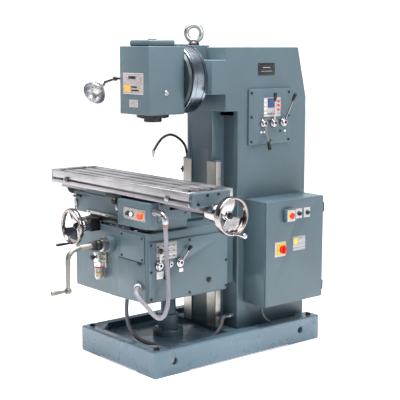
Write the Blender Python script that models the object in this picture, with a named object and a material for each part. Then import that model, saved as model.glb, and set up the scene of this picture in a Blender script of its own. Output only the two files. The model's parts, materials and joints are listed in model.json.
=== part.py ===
"""Vertical knee-type milling machine, as separate parts that slide, swing and turn.

Metres, +Z up.  The origin is the middle of the base on the floor, +X is the operator's right
and -Y is the operator's side.  Pieces that touch keep a gap of GAP between their meshes.
"""
import math

import bmesh
import bpy
from mathutils import Matrix, Vector

GAP = 0.0003
RUN = 0.001             # running clearance between a shaft and its hole
FINE = 24               # sides of a large round piece
MEDIUM = 16
COARSE = 10

# Base
BASE_X = 0.365
BASE_Y = 0.6375
BASE_TOP = 0.150
RIM = 0.060
TRAY_FLOOR = 0.112
COLUMN_SEAT = 0.130

# Column
COLUMN_X = 0.236
COLUMN_BACK = 0.6255
COLUMN_FRONT = 0.0715
BLOCK_FRONT = -0.0225
BLOCK_BOTTOM = 1.428
COLUMN_TOP = 1.795
WAY_X = 0.150
WAY_FRONT = -0.0265
WAY_BACK = 0.0185
WAY_TOP = 1.140
NECK_X = 0.110

# Head
HEAD_AXIS_Z = 1.613
SEAT_FRONT = -0.1255
EYE_Y = -0.0655
EYE_SEAT_Z = 1.806
HEAD_BACK = -0.2385
RING_FRONT = -0.2252
RING_RADIUS = 0.199
HEAD_FRONT = -0.4955
HEAD_X = 0.140
HEAD_BOTTOM = 1.420
HEAD_TOP = 1.800
SPINDLE_Y = -0.3675
NOSE_Z = 1.375
SHAFT_HOLE = 0.0265      # round the drive shaft that enters the head from the column

# Knee, saddle and table
KNEE_X = 0.333
KNEE_LEFT = -0.376
KNEE_FRONT = -0.6605
KNEE_BACK = -0.0955
KNEE_BOTTOM = 0.419
KNEE_TOP = 0.805
ELEVATING_Y = -0.2635
CRANK_Z = 0.706
CROSS_X = -0.146
CROSS_Z = 0.800
SADDLE_TOP = 0.9847
TABLE_X = 0.660
TABLE_Y = -0.4875
TABLE_HALF = 0.150
TABLE_BOTTOM = 0.985
TABLE_TOP = 1.061
TABLE_SCREW_Z = 0.948
TONGUE = 0.030
CROSS_TONGUE = 0.018
PIPE_X = -0.262          # coolant pipe, beside the column
PIPE_Y = 0.092
PUMP_X = -0.086

# Electrical cabinet
CAB_X0 = COLUMN_X + GAP
CAB_X1 = 0.430
CAB_Y0 = 0.1225
CAB_Y1 = 0.5935
CAB_Z0 = 0.290
CAB_Z1 = 0.911
DOOR_T = 0.0125
DOOR_BUTTONS = (0.383, 0.450)

# Speed-change plate on the column's right side
PLATE_X = COLUMN_X + GAP + 0.012
SPEED_HUBS = (0.255, 0.335, 0.415)
SPEED_HUB_Z = 1.352

# Feed-change levers on the knee's right side
COVER_X = KNEE_X + GAP + 0.012
FEED_HUBS = (-0.591, -0.520, -0.449)
FEED_HUB_Z = 0.628

PAINT = ((0.155, 0.225, 0.250), 0.45, 0.0)
MACHINED = ((0.42, 0.40, 0.39), 0.35, 1.0)
STEEL = ((0.55, 0.55, 0.56), 0.28, 1.0)
CHROME = ((0.78, 0.78, 0.80), 0.12, 1.0)
DARK_STEEL = ((0.10, 0.10, 0.11), 0.40, 1.0)
BLACK = ((0.02, 0.02, 0.022), 0.40, 0.0)
GREY_HOSE = ((0.30, 0.30, 0.33), 0.55, 0.0)
ALUMINIUM = ((0.62, 0.63, 0.65), 0.35, 1.0)
RED = ((0.60, 0.03, 0.02), 0.35, 0.0)
YELLOW = ((0.80, 0.55, 0.03), 0.40, 0.0)
WHITE = ((0.80, 0.80, 0.78), 0.40, 0.0)


# ---------------------------------------------------------------- shapes

def clear_scene():
    for obj in list(bpy.data.objects):
        bpy.data.objects.remove(obj, do_unlink=True)


def shape(bm):
    bmesh.ops.recalc_face_normals(bm, faces=bm.faces[:])
    mesh = bpy.data.meshes.new("shape")
    bm.to_mesh(mesh)
    bm.free()
    obj = bpy.data.objects.new("shape", mesh)
    bpy.context.scene.collection.objects.link(obj)
    return obj


def box(x, y, z, bevel=0.0, segments=1):
    bm = bmesh.new()
    bmesh.ops.create_cube(bm, size=1.0)
    size = Vector((x[1] - x[0], y[1] - y[0], z[1] - z[0]))
    middle = Vector((x[1] + x[0], y[1] + y[0], z[1] + z[0])) / 2
    bmesh.ops.transform(bm, matrix=Matrix.Diagonal(size).to_4x4(), verts=bm.verts[:])
    bmesh.ops.translate(bm, vec=middle, verts=bm.verts[:])
    if bevel:
        bmesh.ops.bevel(bm, geom=bm.edges[:], offset=bevel, segments=segments, profile=0.5,
                        affect="EDGES")
    return shape(bm)


def place(axis, along, a, b):
    """A point from its coordinate along an axis and its two others, in X, Y, Z order."""
    if axis == "X":
        return Vector((along, a, b))
    if axis == "Y":
        return Vector((a, along, b))
    return Vector((a, b, along))


def prism(axis, outline, low, high):
    bm = bmesh.new()
    verts = [bm.verts.new(place(axis, low, a, b)) for a, b in outline]
    face = bm.faces.new(verts)
    made = bmesh.ops.extrude_face_region(bm, geom=[face])
    moved = [v for v in made["geom"] if isinstance(v, bmesh.types.BMVert)]
    bmesh.ops.translate(bm, vec=place(axis, high - low, 0, 0), verts=moved)
    return shape(bm)


def band(axis, outer, inner, low, high):
    """A closed loop of rectangular section between two outlines with as many points each."""
    bm = bmesh.new()
    rings = []
    for outline, at in ((outer, low), (outer, high), (inner, high), (inner, low)):
        rings.append([bm.verts.new(place(axis, at, a, b)) for a, b in outline])
    count = len(outer)
    for k in range(4):
        one, two = rings[k], rings[(k + 1) % 4]
        for i in range(count):
            j = (i + 1) % count
            bm.faces.new((one[i], one[j], two[j], two[i]))
    return shape(bm)


def revolve(axis, centre, outline, sides=FINE):
    """Turn a closed outline of (along, radius) about an axis through centre."""
    bm = bmesh.new()
    columns = []
    for along, radius in outline:
        if radius < 1e-6:
            columns.append([bm.verts.new(place(axis, along, *centre))] * sides)
            continue
        ring = []
        for k in range(sides):
            turn = 2 * math.pi * (k + 0.5) / sides
            a = centre[0] + radius * math.cos(turn)
            b = centre[1] + radius * math.sin(turn)
            ring.append(bm.verts.new(place(axis, along, a, b)))
        columns.append(ring)
    for i, one in enumerate(columns):
        two = columns[(i + 1) % len(columns)]
        for k in range(sides):
            j = (k + 1) % sides
            corners = list(dict.fromkeys((one[k], one[j], two[j], two[k])))
            if len(corners) > 2:
                bm.faces.new(corners)
    return shape(bm)


def turned(axis, centre, profile, sides=FINE):
    """A solid turned piece from its outer profile of (along, radius)."""
    ends = [(profile[-1][0], 0.0), (profile[0][0], 0.0)]
    return revolve(axis, centre, list(profile) + ends, sides)


def disc(axis, centre, radius, low, high, sides=FINE, chamfer=0.0):
    if not chamfer:
        return turned(axis, centre, [(low, radius), (high, radius)], sides)
    return turned(axis, centre, [(low, radius - chamfer), (low + chamfer, radius),
                                 (high - chamfer, radius), (high, radius - chamfer)], sides)


def rod(start, end, profile, sides=COARSE):
    """A turned piece between two points, from (share of length, radius) pairs."""
    start, end = Vector(start), Vector(end)
    length = (end - start).length
    piece = turned("Z", (0, 0), [(share * length, radius) for share, radius in profile], sides)
    turn = Vector((0, 0, 1)).rotation_difference(end - start).to_matrix().to_4x4()
    piece.data.transform(Matrix.Translation(start) @ turn)
    return piece


def bar(start, end, radius, sides=COARSE):
    return rod(start, end, [(0, radius), (1, radius)], sides)


def torus(centre, axis_matrix, major, minor, sides=FINE, around=8):
    bm = bmesh.new()
    rings = []
    for k in range(sides):
        turn = 2 * math.pi * k / sides
        ring = []
        for m in range(around):
            lean = 2 * math.pi * m / around
            reach = major + minor * math.cos(lean)
            point = Vector((reach * math.cos(turn), reach * math.sin(turn), minor * math.sin(lean)))
            ring.append(bm.verts.new(Vector(centre) + axis_matrix @ point))
        rings.append(ring)
    for k in range(sides):
        one, two = rings[k], rings[(k + 1) % sides]
        for m in range(around):
            n = (m + 1) % around
            bm.faces.new((one[m], one[n], two[n], two[m]))
    return shape(bm)


def smooth_route(points, spacing):
    """Points about every spacing on a Catmull-Rom curve through the route, its ends straight."""
    path = [Vector(p) for p in points]
    path = [2 * path[0] - path[1]] + path + [2 * path[-1] - path[-2]]
    fine = []
    for a, b, c, d in zip(path, path[1:], path[2:], path[3:]):
        for step in range(20):
            t = step / 20
            fine.append(0.5 * (2 * b + (c - a) * t + (2 * a - 5 * b + 4 * c - d) * t * t
                               + (3 * b - a - 3 * c + d) * t ** 3))
    fine.append(path[-2])
    kept = [fine[0], fine[0] + (path[2] - path[1]).normalized() * spacing * 0.2]
    for point in fine[1:-1]:
        near_end = (point - fine[-1]).length < spacing * 0.6
        if (point - kept[-1]).length >= spacing and not near_end:
            kept.append(point)
    end = (path[-3] - path[-2]).normalized() * spacing * 0.2
    return kept + [fine[-1] + end, fine[-1]]


def hose(name, points, diameter, spacing, resolution=2):
    curve = bpy.data.curves.new(name, "CURVE")
    curve.dimensions = "3D"
    curve.bevel_depth = diameter / 2
    curve.bevel_resolution = resolution
    curve.use_fill_caps = True
    spline = curve.splines.new("POLY")
    route = smooth_route(points, spacing)
    spline.points.add(len(route) - 1)
    for place_, point in zip(spline.points, route):
        place_.co = (*point, 1.0)
    obj = bpy.data.objects.new(name, curve)
    bpy.context.scene.collection.objects.link(obj)
    return obj


# ---------------------------------------------------------------- joining and cutting

def bake(obj):
    """Apply the object's modifiers to its mesh."""
    graph = bpy.context.evaluated_depsgraph_get()
    mesh = bpy.data.meshes.new_from_object(obj.evaluated_get(graph))
    obj.modifiers.clear()
    obj.data = mesh


def sound(mesh):
    """Whether a mesh is one or more closed skins with some volume in them."""
    bm = bmesh.new()
    bm.from_mesh(mesh)
    closed = all(edge.is_manifold for edge in bm.edges)
    volume = bm.calc_volume()
    bm.free()
    return closed and volume > 1e-8


def combine(first, others, operation):
    """Join or cut one piece after another, with the MANIFOLD solver only where EXACT fails."""
    for other in others:
        before = first.data
        for solver in ("EXACT", "MANIFOLD"):
            first.data = before
            step = first.modifiers.new(operation.title(), "BOOLEAN")
            step.operation = operation
            step.object = other
            step.solver = solver
            bake(first)
            if sound(first.data):
                break
        bpy.data.objects.remove(other, do_unlink=True)
    return first


def fuse(first, *others):
    return combine(first, others, "UNION")


def cut(first, *others):
    return combine(first, others, "DIFFERENCE")


def tidy(obj):
    """Merge flat neighbouring faces and doubled points that a Boolean left."""
    bm = bmesh.new()
    bm.from_mesh(obj.data)
    bmesh.ops.remove_doubles(bm, verts=bm.verts[:], dist=0.00002)
    bmesh.ops.dissolve_limit(bm, angle_limit=math.radians(0.5), verts=bm.verts[:],
                             edges=bm.edges[:])
    bm.to_mesh(obj.data)
    bm.free()
    return obj


def soften(obj, width, segments=1, angle=40):
    """Round the edges of a casting."""
    tidy(obj)
    step = obj.modifiers.new("Bevel", "BEVEL")
    step.width = width
    step.segments = segments
    step.limit_method = "ANGLE"
    step.angle_limit = math.radians(angle)
    bake(obj)
    return obj


def as_mesh(curve):
    """A mesh object in a curve object's place, with its end caps sewn on."""
    graph = bpy.context.evaluated_depsgraph_get()
    mesh = bpy.data.meshes.new_from_object(curve.evaluated_get(graph))
    bm = bmesh.new()
    bm.from_mesh(mesh)
    bmesh.ops.remove_doubles(bm, verts=bm.verts[:], dist=0.00002)
    bpy.data.objects.remove(curve, do_unlink=True)
    return shape(bm)


# ---------------------------------------------------------------- naming and placing

def material(kind, name):
    colour, roughness, metallic = kind
    made = bpy.data.materials.new(name)
    made.use_nodes = True
    shader = made.node_tree.nodes["Principled BSDF"]
    shader.inputs["Base Color"].default_value = (*colour, 1.0)
    shader.inputs["Roughness"].default_value = roughness
    shader.inputs["Metallic"].default_value = metallic
    return made


def body(name, point=(0.0, 0.0, 0.0)):
    """An empty on a joint's axis, which carries the body's pieces."""
    empty = bpy.data.objects.new("body_" + name, None)
    empty.empty_display_size = 0.05
    empty.location = point
    bpy.context.scene.collection.objects.link(empty)
    return empty


def node(obj, name, kind, carrier):
    """Name a finished piece, colour it and hang it on its body's empty."""
    obj.name = name
    obj.data.name = name
    obj.data.materials.clear()
    obj.data.materials.append(material(kind, name + "_finish"))
    if obj.type == "MESH":
        obj.data.transform(Matrix.Translation(-carrier.location))
        obj.data.shade_smooth()
        obj.data.set_sharp_from_angle(angle=math.radians(35))
        obj.location = (0, 0, 0)
    else:
        obj.location = -carrier.location
    obj.parent = carrier
    return obj


def mirrored(value):
    return (-value, value)


# ---------------------------------------------------------------- base and column

def make_base(frame):
    foot = 0.010
    under = 0.095
    wall = 0.030
    rib = 0.050
    chamfer = 0.090
    inner_x, inner_y = BASE_X - RIM, BASE_Y - RIM
    casting = box((-BASE_X, BASE_X), (-BASE_Y, BASE_Y), (0, BASE_TOP), 0.005)
    outline = []
    for sx, sy in ((1, 1), (-1, 1), (-1, -1), (1, -1)):
        near_x = (sx * inner_x, sy * (inner_y - chamfer))
        near_y = (sx * (inner_x - chamfer), sy * inner_y)
        outline += [near_x, near_y] if sx * sy > 0 else [near_y, near_x]
    tray = prism("Z", outline, TRAY_FLOOR, 0.2)
    plateau = box((-0.262, 0.262), (-0.010, 0.7), (0.05, COLUMN_SEAT))
    cut(tray, plateau)
    step = box((-0.262, 0.262), (0.020, 0.7), (COLUMN_SEAT, 0.2))
    cutters = [tray, step]
    for side in (-1, 1):
        x = sorted((side * rib, side * (BASE_X - wall)))
        for y in ((-BASE_Y + wall, -0.03), (0.03, BASE_Y - wall)):
            cutters.append(box(x, y, (-0.1, under)))
        wide = sorted((side * rib * 2, side * 0.5))
        cutters.append(box(wide, (-0.39, 0.39), (-0.1, foot)))
        y = sorted((side * 0.55, side * 0.8))
        cutters.append(box((-0.19, 0.19), y, (-0.1, foot)))
        for y in (-0.500, 0.476):
            x = sorted((side * (BASE_X - wall - 0.004), side * (BASE_X + 0.01)))
            cutters.append(disc("X", (y, 0.080), 0.021, x[0], x[1], MEDIUM))
        for y in (-0.590, 0.590):
            cutters.append(disc("Z", (side * 0.318, y), 0.013, -0.1, 0.3, COARSE))
    cutters.append(disc("Z", (0, ELEVATING_Y), 0.032, -0.1, 0.3, MEDIUM))
    cut(casting, *cutters)
    fitting = disc("Y", (0.284, 0.134), 0.012, 0.460, 0.530, COARSE, 0.002)
    node(fuse(casting, fitting), "base", PAINT, frame)


def make_column(frame):
    foot = COLUMN_SEAT + GAP
    side = [(COLUMN_FRONT, foot), (COLUMN_FRONT, BLOCK_BOTTOM), (BLOCK_FRONT, BLOCK_BOTTOM),
            (BLOCK_FRONT, COLUMN_TOP), (0.554, COLUMN_TOP), (COLUMN_BACK, 1.496),
            (COLUMN_BACK, foot)]
    casting = soften(prism("X", side, -COLUMN_X, COLUMN_X), 0.004)
    neck = box(mirrored(NECK_X), (-0.0195, COLUMN_FRONT + 0.02), (foot, BLOCK_BOTTOM + 0.02))
    ways = box(mirrored(WAY_X), (WAY_FRONT, WAY_BACK), (foot, WAY_TOP))
    seat = box(mirrored(COLUMN_X), (SEAT_FRONT, BLOCK_FRONT + 0.02), (1.527, 1.723),
               0.004)
    pad = box(mirrored(0.066), (SEAT_FRONT + 0.001, -0.003), (1.700, EYE_SEAT_Z), 0.003)
    fuse(casting, neck, ways, seat, pad)
    cavity = [
        box(mirrored(0.195), (0.110, 0.7), (0.200, 1.440)),
        box(mirrored(0.195), (0.050, 0.520), (1.400, 1.735)),
        box((0.15, 0.30), (0.17, 0.46), (1.25, 1.53)),
        box(mirrored(0.0705), (-0.05, WAY_FRONT + 0.008), (0.160, 1.2)),
        disc("Y", (0, HEAD_AXIS_Z), SHAFT_HOLE, -0.2, 0.1, FINE),
        disc("Z", (0, EYE_Y), 0.0170, 1.72, 1.9, MEDIUM),
    ]
    node(cut(casting, *cavity), "column", PAINT, frame)
    rear = COLUMN_BACK + GAP
    cover = box(mirrored(0.215), (rear, rear + 0.008), (0.180, 1.462), 0.002, 1)
    node(cover, "rear_cover", PAINT, frame)


def make_speed_plate(frame):
    plate = box((COLUMN_X + GAP, PLATE_X), (0.146, 0.486), (1.226, 1.554), 0.002)
    holes = [disc("X", (y, SPEED_HUB_Z), 0.013, 0.2, 0.3, COARSE) for y in SPEED_HUBS]
    node(cut(plate, *holes), "gearbox_plate", PAINT, frame)


def make_eye_bolt(frame):
    bottom = EYE_SEAT_Z + GAP
    turn = Matrix.Rotation(math.radians(45), 3, "Z") @ Matrix.Rotation(math.radians(90), 3, "X")
    ring = torus((0, EYE_Y, 1.8745), turn, 0.0445, 0.0145, FINE, 10)
    shank = turned("Z", (0, EYE_Y), [(1.745, 0.015), (1.749, 0.016), (bottom, 0.016),
                                 (bottom, 0.032), (bottom + 0.012, 0.032),
                                 (bottom + 0.024, 0.019), (bottom + 0.030, 0.016)], MEDIUM)
    node(fuse(ring, shank), "eye_bolt", DARK_STEEL, frame)


def make_pedestal(frame):
    foot = TRAY_FLOOR + GAP
    outline = [(foot, 0.089), (0.150, 0.089), (0.160, 0.060), (0.235, 0.0585), (0.240, 0.0455),
               (0.325, 0.0455), (0.325, 0.028 + RUN), (foot, 0.028 + RUN)]
    node(revolve("Z", (0, ELEVATING_Y), outline), "screw_pedestal", PAINT, frame)


# ---------------------------------------------------------------- drive inside the column

MOTOR_Z = 0.470
MOTOR_PULLEY = 0.070
DRIVE_PULLEY = 0.105
PULLEY_Y = (0.365, 0.425)


def belt_outline(reach):
    """Two arcs joined by tangents round the two pulleys, reach outside their rims."""
    lean = math.asin((DRIVE_PULLEY - MOTOR_PULLEY) / (HEAD_AXIS_Z - MOTOR_Z))
    points = []
    for centre, radius, start, end in (
            (HEAD_AXIS_Z, DRIVE_PULLEY, -lean, math.pi + lean),
            (MOTOR_Z, MOTOR_PULLEY, math.pi + lean, 2 * math.pi - lean)):
        for k in range(15):
            turn = start + (end - start) * k / 14
            points.append(((radius + reach) * math.cos(turn),
                           centre + (radius + reach) * math.sin(turn)))
    return points


def make_drive(frame, rotor, drive):
    stand = box(mirrored(0.100), (0.150, 0.320), (0.200 + GAP, 0.400))
    barrel = disc("Y", (0, MOTOR_Z), 0.112, 0.130, 0.340, FINE, 0.010)
    terminals = box((-0.16, -0.08), (0.19, 0.29), (MOTOR_Z - 0.04, MOTOR_Z + 0.06), 0.004, 1)
    bore = disc("Y", (0, MOTOR_Z), 0.014 + RUN, 0.25, 0.35, COARSE)
    node(cut(fuse(barrel, stand, terminals), bore), "main_motor", PAINT, frame)
    shaft = disc("Y", (0, MOTOR_Z), 0.014, 0.27, PULLEY_Y[0] + 0.01, COARSE)
    pulley = disc("Y", (0, MOTOR_Z), MOTOR_PULLEY, PULLEY_Y[0], PULLEY_Y[1], FINE)
    node(fuse(pulley, shaft), "motor_pulley", STEEL, rotor)
    belt = band("Y", belt_outline(0.010), belt_outline(0.0012), 0.373, 0.417)
    node(belt, "drive_belt", BLACK, frame)
    shaft = turned("Y", (0, HEAD_AXIS_Z),
                   [(SPINDLE_Y + 0.040, 0.0395), (SPINDLE_Y + 0.0745, 0.0742),
                    (SPINDLE_Y + 0.080, 0.0700), (SPINDLE_Y + 0.085, 0.0450),
                    (HEAD_BACK - 0.012, 0.0450), (HEAD_BACK - 0.012, 0.025),
                    (PULLEY_Y[0] - 0.02, 0.025), (PULLEY_Y[0] - 0.02, 0.045),
                    (PULLEY_Y[0], 0.045), (PULLEY_Y[0], DRIVE_PULLEY),
                    (PULLEY_Y[1], DRIVE_PULLEY), (PULLEY_Y[1], 0.03), (0.455, 0.03)])
    node(shaft, "drive_shaft", STEEL, drive)


# ---------------------------------------------------------------- levers

def lever(name, carrier, hub, hub_radius, hub_depth, angle, length, grip, tilt=0.02, shaft=0.0):
    """A hub on a +X face, a rod leaning outwards and a grip; angle is from +Z towards +Y."""
    x, y, z = hub
    start = x + GAP
    boss = turned("X", (y, z), [(start, hub_radius), (start + hub_depth * 0.55, hub_radius),
                                (start + hub_depth * 0.6, hub_radius * 0.72),
                                (start + hub_depth, hub_radius * 0.68)], MEDIUM)
    away = Vector((tilt, math.sin(angle) * length, math.cos(angle) * length))
    root = Vector((start + hub_depth * 0.55, y, z))
    tip = root + away
    grip_start = root + away * (1 - grip / length)
    stem = bar(root, grip_start + away * 0.05, 0.0050, 10)
    handle = rod(grip_start, tip, [(0, 0.0070), (0.15, 0.0085), (0.8, 0.0115), (1, 0.0075)], 10)
    pieces = [stem, handle]
    if shaft:
        pieces.append(disc("X", (y, z), 0.012, x - shaft, start + 0.002, COARSE))
    return node(fuse(boss, *pieces), name, CHROME, carrier)


def make_speed_levers():
    specs = (("speed_lever_low", 0.255, math.radians(173.5), 0.158),
             ("speed_lever_high", 0.335, math.radians(-7.6), 0.180),
             ("speed_lever_range", 0.415, math.radians(20.5), 0.182))
    for name, y, angle, length in specs:
        carrier = body(name, (PLATE_X, y, SPEED_HUB_Z))
        lever(name, carrier, (PLATE_X, y, SPEED_HUB_Z), 0.026, 0.030, angle, length, 0.050,
              0.030, 0.045)


def make_feed_levers():
    specs = (("feed_lever_left", -0.591, math.radians(2), 0.095, 0.026),
             ("feed_lever_middle", -0.520, math.radians(211), 0.090, 0.020),
             ("feed_lever_right", -0.449, math.radians(39), 0.110, 0.026))
    for name, y, angle, length, radius in specs:
        carrier = body(name, (COVER_X, y, FEED_HUB_Z))
        lever(name, carrier, (COVER_X, y, FEED_HUB_Z), radius, 0.022, angle, length, 0.035,
              0.008, 0.030)


# ---------------------------------------------------------------- handwheels and crank

def web(axis, centre, middle, half, reaches, heights, thick):
    """A fan-shaped web between two reaches from the axis, at a height along it for each."""
    bm = bmesh.new()
    steps = 6
    rows = []
    for k in range(steps + 1):
        turn = math.radians(middle - half + 2 * half * k / steps)
        row = []
        for reach, height in zip(reaches, heights):
            a, b = centre[0] + reach * math.cos(turn), centre[1] + reach * math.sin(turn)
            row.append(bm.verts.new(place(axis, height, a, b)))
            row.append(bm.verts.new(place(axis, height + thick, a, b)))
        rows.append((row[0], row[1], row[3], row[2]))
    for one, two in zip(rows, rows[1:]):
        for k in range(4):
            j = (k + 1) % 4
            bm.faces.new((one[k], one[j], two[j], two[k]))
    bm.faces.new(rows[0])
    bm.faces.new(rows[-1])
    return shape(bm)


def handwheel(axis, centre, along, outward, rim, half_depth, dish, heading):
    """A wheel with a wide and a narrow web, its hub dish behind the rim's middle plane.

    The wide web points at heading degrees, and outward is +1 or -1.
    """
    edge, inner = 0.004, rim - 0.016
    ring = revolve(axis, centre, [(along - half_depth, rim - edge), (along - half_depth + edge, rim),
                                  (along + half_depth - edge, rim), (along + half_depth, rim - edge),
                                  (along + half_depth, inner + edge),
                                  (along + half_depth - edge, inner),
                                  (along - half_depth + edge, inner),
                                  (along - half_depth, inner + edge)], FINE)
    front = along - outward * dish
    back = front - outward * 0.018
    hub = disc(axis, centre, 0.022, min(back, front), max(back, front), MEDIUM, 0.002)
    thick = 0.010
    near_hub = front - outward * 0.009 - thick / 2
    near_rim = along - outward * (half_depth - 0.009) - thick / 2
    webs = [web(axis, centre, heading + turn, half, (0.016, rim - 0.010), (near_hub, near_rim), thick)
            for turn, half in ((0, 61), (180, 40))]
    return fuse(ring, hub, *webs)


def grip_on(axis, centre, base, outward, length, name, carrier, thick=1.0):
    """A revolving handle on its pin's axis."""
    shares = [(0, 0.0075), (0.06, 0.0105), (0.35, 0.0095), (0.8, 0.0140), (0.94, 0.0130), (1, 0.008)]
    profile = [(base + outward * (GAP + share * length), radius * thick)
               for share, radius in shares]
    return node(turned(axis, centre, profile, MEDIUM), name, CHROME, carrier)


def make_table_wheel(table_wheel, grip_body):
    """The longitudinal screw with its collars, graduated dial and handwheel."""
    centre = (TABLE_Y, TABLE_SCREW_Z)
    plane, depth = 0.820, 0.020
    screw = turned("X", centre, [(-0.690, 0.012), (-0.640, 0.016), (0.668, 0.016), (0.668, 0.014),
                                 (0.790, 0.014)], MEDIUM)
    dial = turned("X", centre, [(0.728, 0.030), (0.744, 0.032), (0.752, 0.032), (0.752, 0.041),
                                (0.772, 0.041), (0.778, 0.028), (0.790, 0.024)], FINE)
    wheel = handwheel("X", centre, plane, 1, 0.101, depth, 0.012, -72)
    node(fuse(wheel, dial, screw), "table_handwheel", CHROME, table_wheel)
    grip_on("X", (TABLE_Y, TABLE_SCREW_Z - 0.088), plane + depth, 1, 0.092, "table_grip", grip_body)


def make_cross_wheel(cross_wheel, grip_body):
    """The cross screw with its dial and handwheel in front of the knee."""
    centre = (CROSS_X, CROSS_Z)
    plane, depth = -0.826, 0.0125
    screw = turned("Y", centre, [(-0.790, 0.013), (-0.160, 0.013)], MEDIUM)
    dial = turned("Y", centre, [(-0.787, 0.024), (-0.768, 0.028), (-0.760, 0.037), (-0.742, 0.037),
                                (-0.740, 0.030), (-0.728, 0.030)], FINE)
    wheel = handwheel("Y", centre, plane, -1, 0.104, depth, 0.024, -108)
    node(fuse(wheel, dial, screw), "cross_handwheel", CHROME, cross_wheel)
    grip_on("Y", (CROSS_X, CROSS_Z - 0.093), plane - depth, -1, 0.095, "cross_grip", grip_body,
            0.65)


def make_crank(crank, grip_body):
    """The hand crank that raises the knee, with its dial, clutch collar and bevel gear."""
    axis = (0, CRANK_Z)
    gear = ELEVATING_Y - 0.015
    shaft = turned("Y", axis, [(-0.870, 0.016), (-0.800, 0.017), (-0.798, 0.021), (-0.765, 0.021),
                               (-0.765, 0.030), (-0.738, 0.030), (-0.736, 0.038), (-0.716, 0.038),
                               (-0.714, 0.032), (-0.702, 0.032), (-0.702, 0.014),
                               (gear - 0.025, 0.014), (gear - 0.015, 0.0297), (gear, 0.0147)], MEDIUM)
    route = ((0, -0.860, CRANK_Z), (0, -0.895, CRANK_Z - 0.003), (0, -0.930, CRANK_Z - 0.018),
             (0, -0.948, CRANK_Z - 0.048))
    neck = None
    for start, end, thick in zip(route, route[1:], (0.0135, 0.0130, 0.0140)):
        overlap = (Vector(end) - Vector(start)).normalized() * 0.004
        part = bar(Vector(start) - overlap, Vector(end) + overlap, thick, COARSE)
        neck = part if neck is None else fuse(neck, part)
    arm = rod((0, -0.948, CRANK_Z - 0.030), (0, -0.952, 0.472),
              [(0, 0.014), (0.05, 0.016), (0.5, 0.013), (0.9, 0.012), (1, 0.014)], COARSE)
    eye = disc("Y", (0, 0.477), 0.017, -0.968, -0.936, MEDIUM, 0.002)
    node(fuse(shaft, neck, arm, eye), "crank", STEEL, crank)
    grip_on("Y", (0, 0.477), -0.968, -1, 0.092, "crank_grip", grip_body)


# ---------------------------------------------------------------- knee

def dovetail(gap):
    """Section of the cross slide on the knee's top, or of its groove when gap is a clearance."""
    low, high = KNEE_TOP - 0.010 - 10 * gap, KNEE_TOP + CROSS_TONGUE + gap
    left, right, lean = -0.083 - gap, 0.153 + gap, 0.012
    return [(left, low), (left, KNEE_TOP), (left - lean, high), (right + lean, high),
            (right, KNEE_TOP), (right, low)]


def make_knee(knee):
    outline = [(KNEE_LEFT, KNEE_BOTTOM - 0.014), (0.030, KNEE_BOTTOM - 0.013), (KNEE_X, KNEE_BOTTOM),
               (KNEE_X, KNEE_TOP), (KNEE_LEFT, KNEE_TOP)]
    casting = prism("Y", outline, KNEE_FRONT, KNEE_BACK)
    rear = WAY_FRONT - GAP
    guide = box(mirrored(0.225), (KNEE_BACK - 0.02, rear), (KNEE_BOTTOM, KNEE_TOP))
    soften(casting, 0.005)
    shelf = box((PIPE_X - 0.020, -0.2375), (0.040, PIPE_Y + 0.020), (KNEE_TOP - 0.030, KNEE_TOP))
    pieces = [guide, shelf]
    for side in (-1, 1):
        x = sorted((side * (WAY_X + GAP), 0.225 if side > 0 else PIPE_X - 0.020))
        pieces.append(box(x, (rear - 0.02, 0.045), (KNEE_BOTTOM, KNEE_TOP)))
        x = sorted((side * (NECK_X + 0.010), side * 0.21))
        pieces.append(box(x, (WAY_BACK + GAP, 0.045), (KNEE_BOTTOM, KNEE_TOP)))
    fuse(casting, *pieces, prism("Y", dovetail(0.0), -0.655, -0.125))
    cutters = [
        box((KNEE_LEFT + 0.033, 0.5), (-0.610, -0.140), (0.450, 0.745)),
        box((CROSS_X - 0.022, CROSS_X + 0.022), (-0.625, -0.130), (0.762, 0.9)),
        disc("Y", (CROSS_X, CROSS_Z), 0.013 + RUN, -0.7, -0.6, MEDIUM),
        disc("Y", (0, CRANK_Z), 0.014 + RUN, -0.7, -0.6, MEDIUM),
        disc("Z", (0, ELEVATING_Y), 0.028 + RUN, 0.38, 0.5, MEDIUM),
    ]
    cut(casting, *cutters)
    collar = box((CROSS_X - 0.033, CROSS_X + 0.033), (-0.726, KNEE_FRONT + 0.002),
                 (CROSS_Z - 0.034, CROSS_Z + 0.034), 0.003)
    collar_bore = disc("Y", (CROSS_X, CROSS_Z), 0.013 + RUN, -0.8, -0.6, MEDIUM)
    boss = disc("Y", (0, CRANK_Z), 0.046, -0.700, KNEE_FRONT + 0.002, FINE, 0.003)
    boss_bore = disc("Y", (0, CRANK_Z), 0.014 + RUN, -0.8, -0.6, MEDIUM)
    gland = rod((0.2471, -0.6565, 0.5150), (0.2789, -0.6864, 0.5028),
                [(0, 0.022), (0.5, 0.022), (0.55, 0.018), (1, 0.018)], COARSE)
    drain = disc("Z", (0, -0.560), 0.017, KNEE_BOTTOM - 0.030, KNEE_BOTTOM, COARSE)
    cut(collar, collar_bore)
    cut(boss, boss_bore)
    node(fuse(casting, collar, boss, gland, drain), "knee_casting", PAINT, knee)


def make_knee_covers(knee):
    cover = box((KNEE_X + GAP, COVER_X), (-0.655, -0.100), (0.434, 0.757), 0.002)
    holes = [disc("X", (y, FEED_HUB_Z), 0.013, 0.3, 0.4, COARSE) for y in FEED_HUBS]
    front = KNEE_FRONT - GAP
    small = box((0.096, 0.313), (front - 0.008, front), (0.646, 0.792), 0.002, 1)
    node(cut(cover, *holes), "knee_side_cover", PAINT, knee)
    node(small, "knee_front_cover", PAINT, knee)


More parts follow.
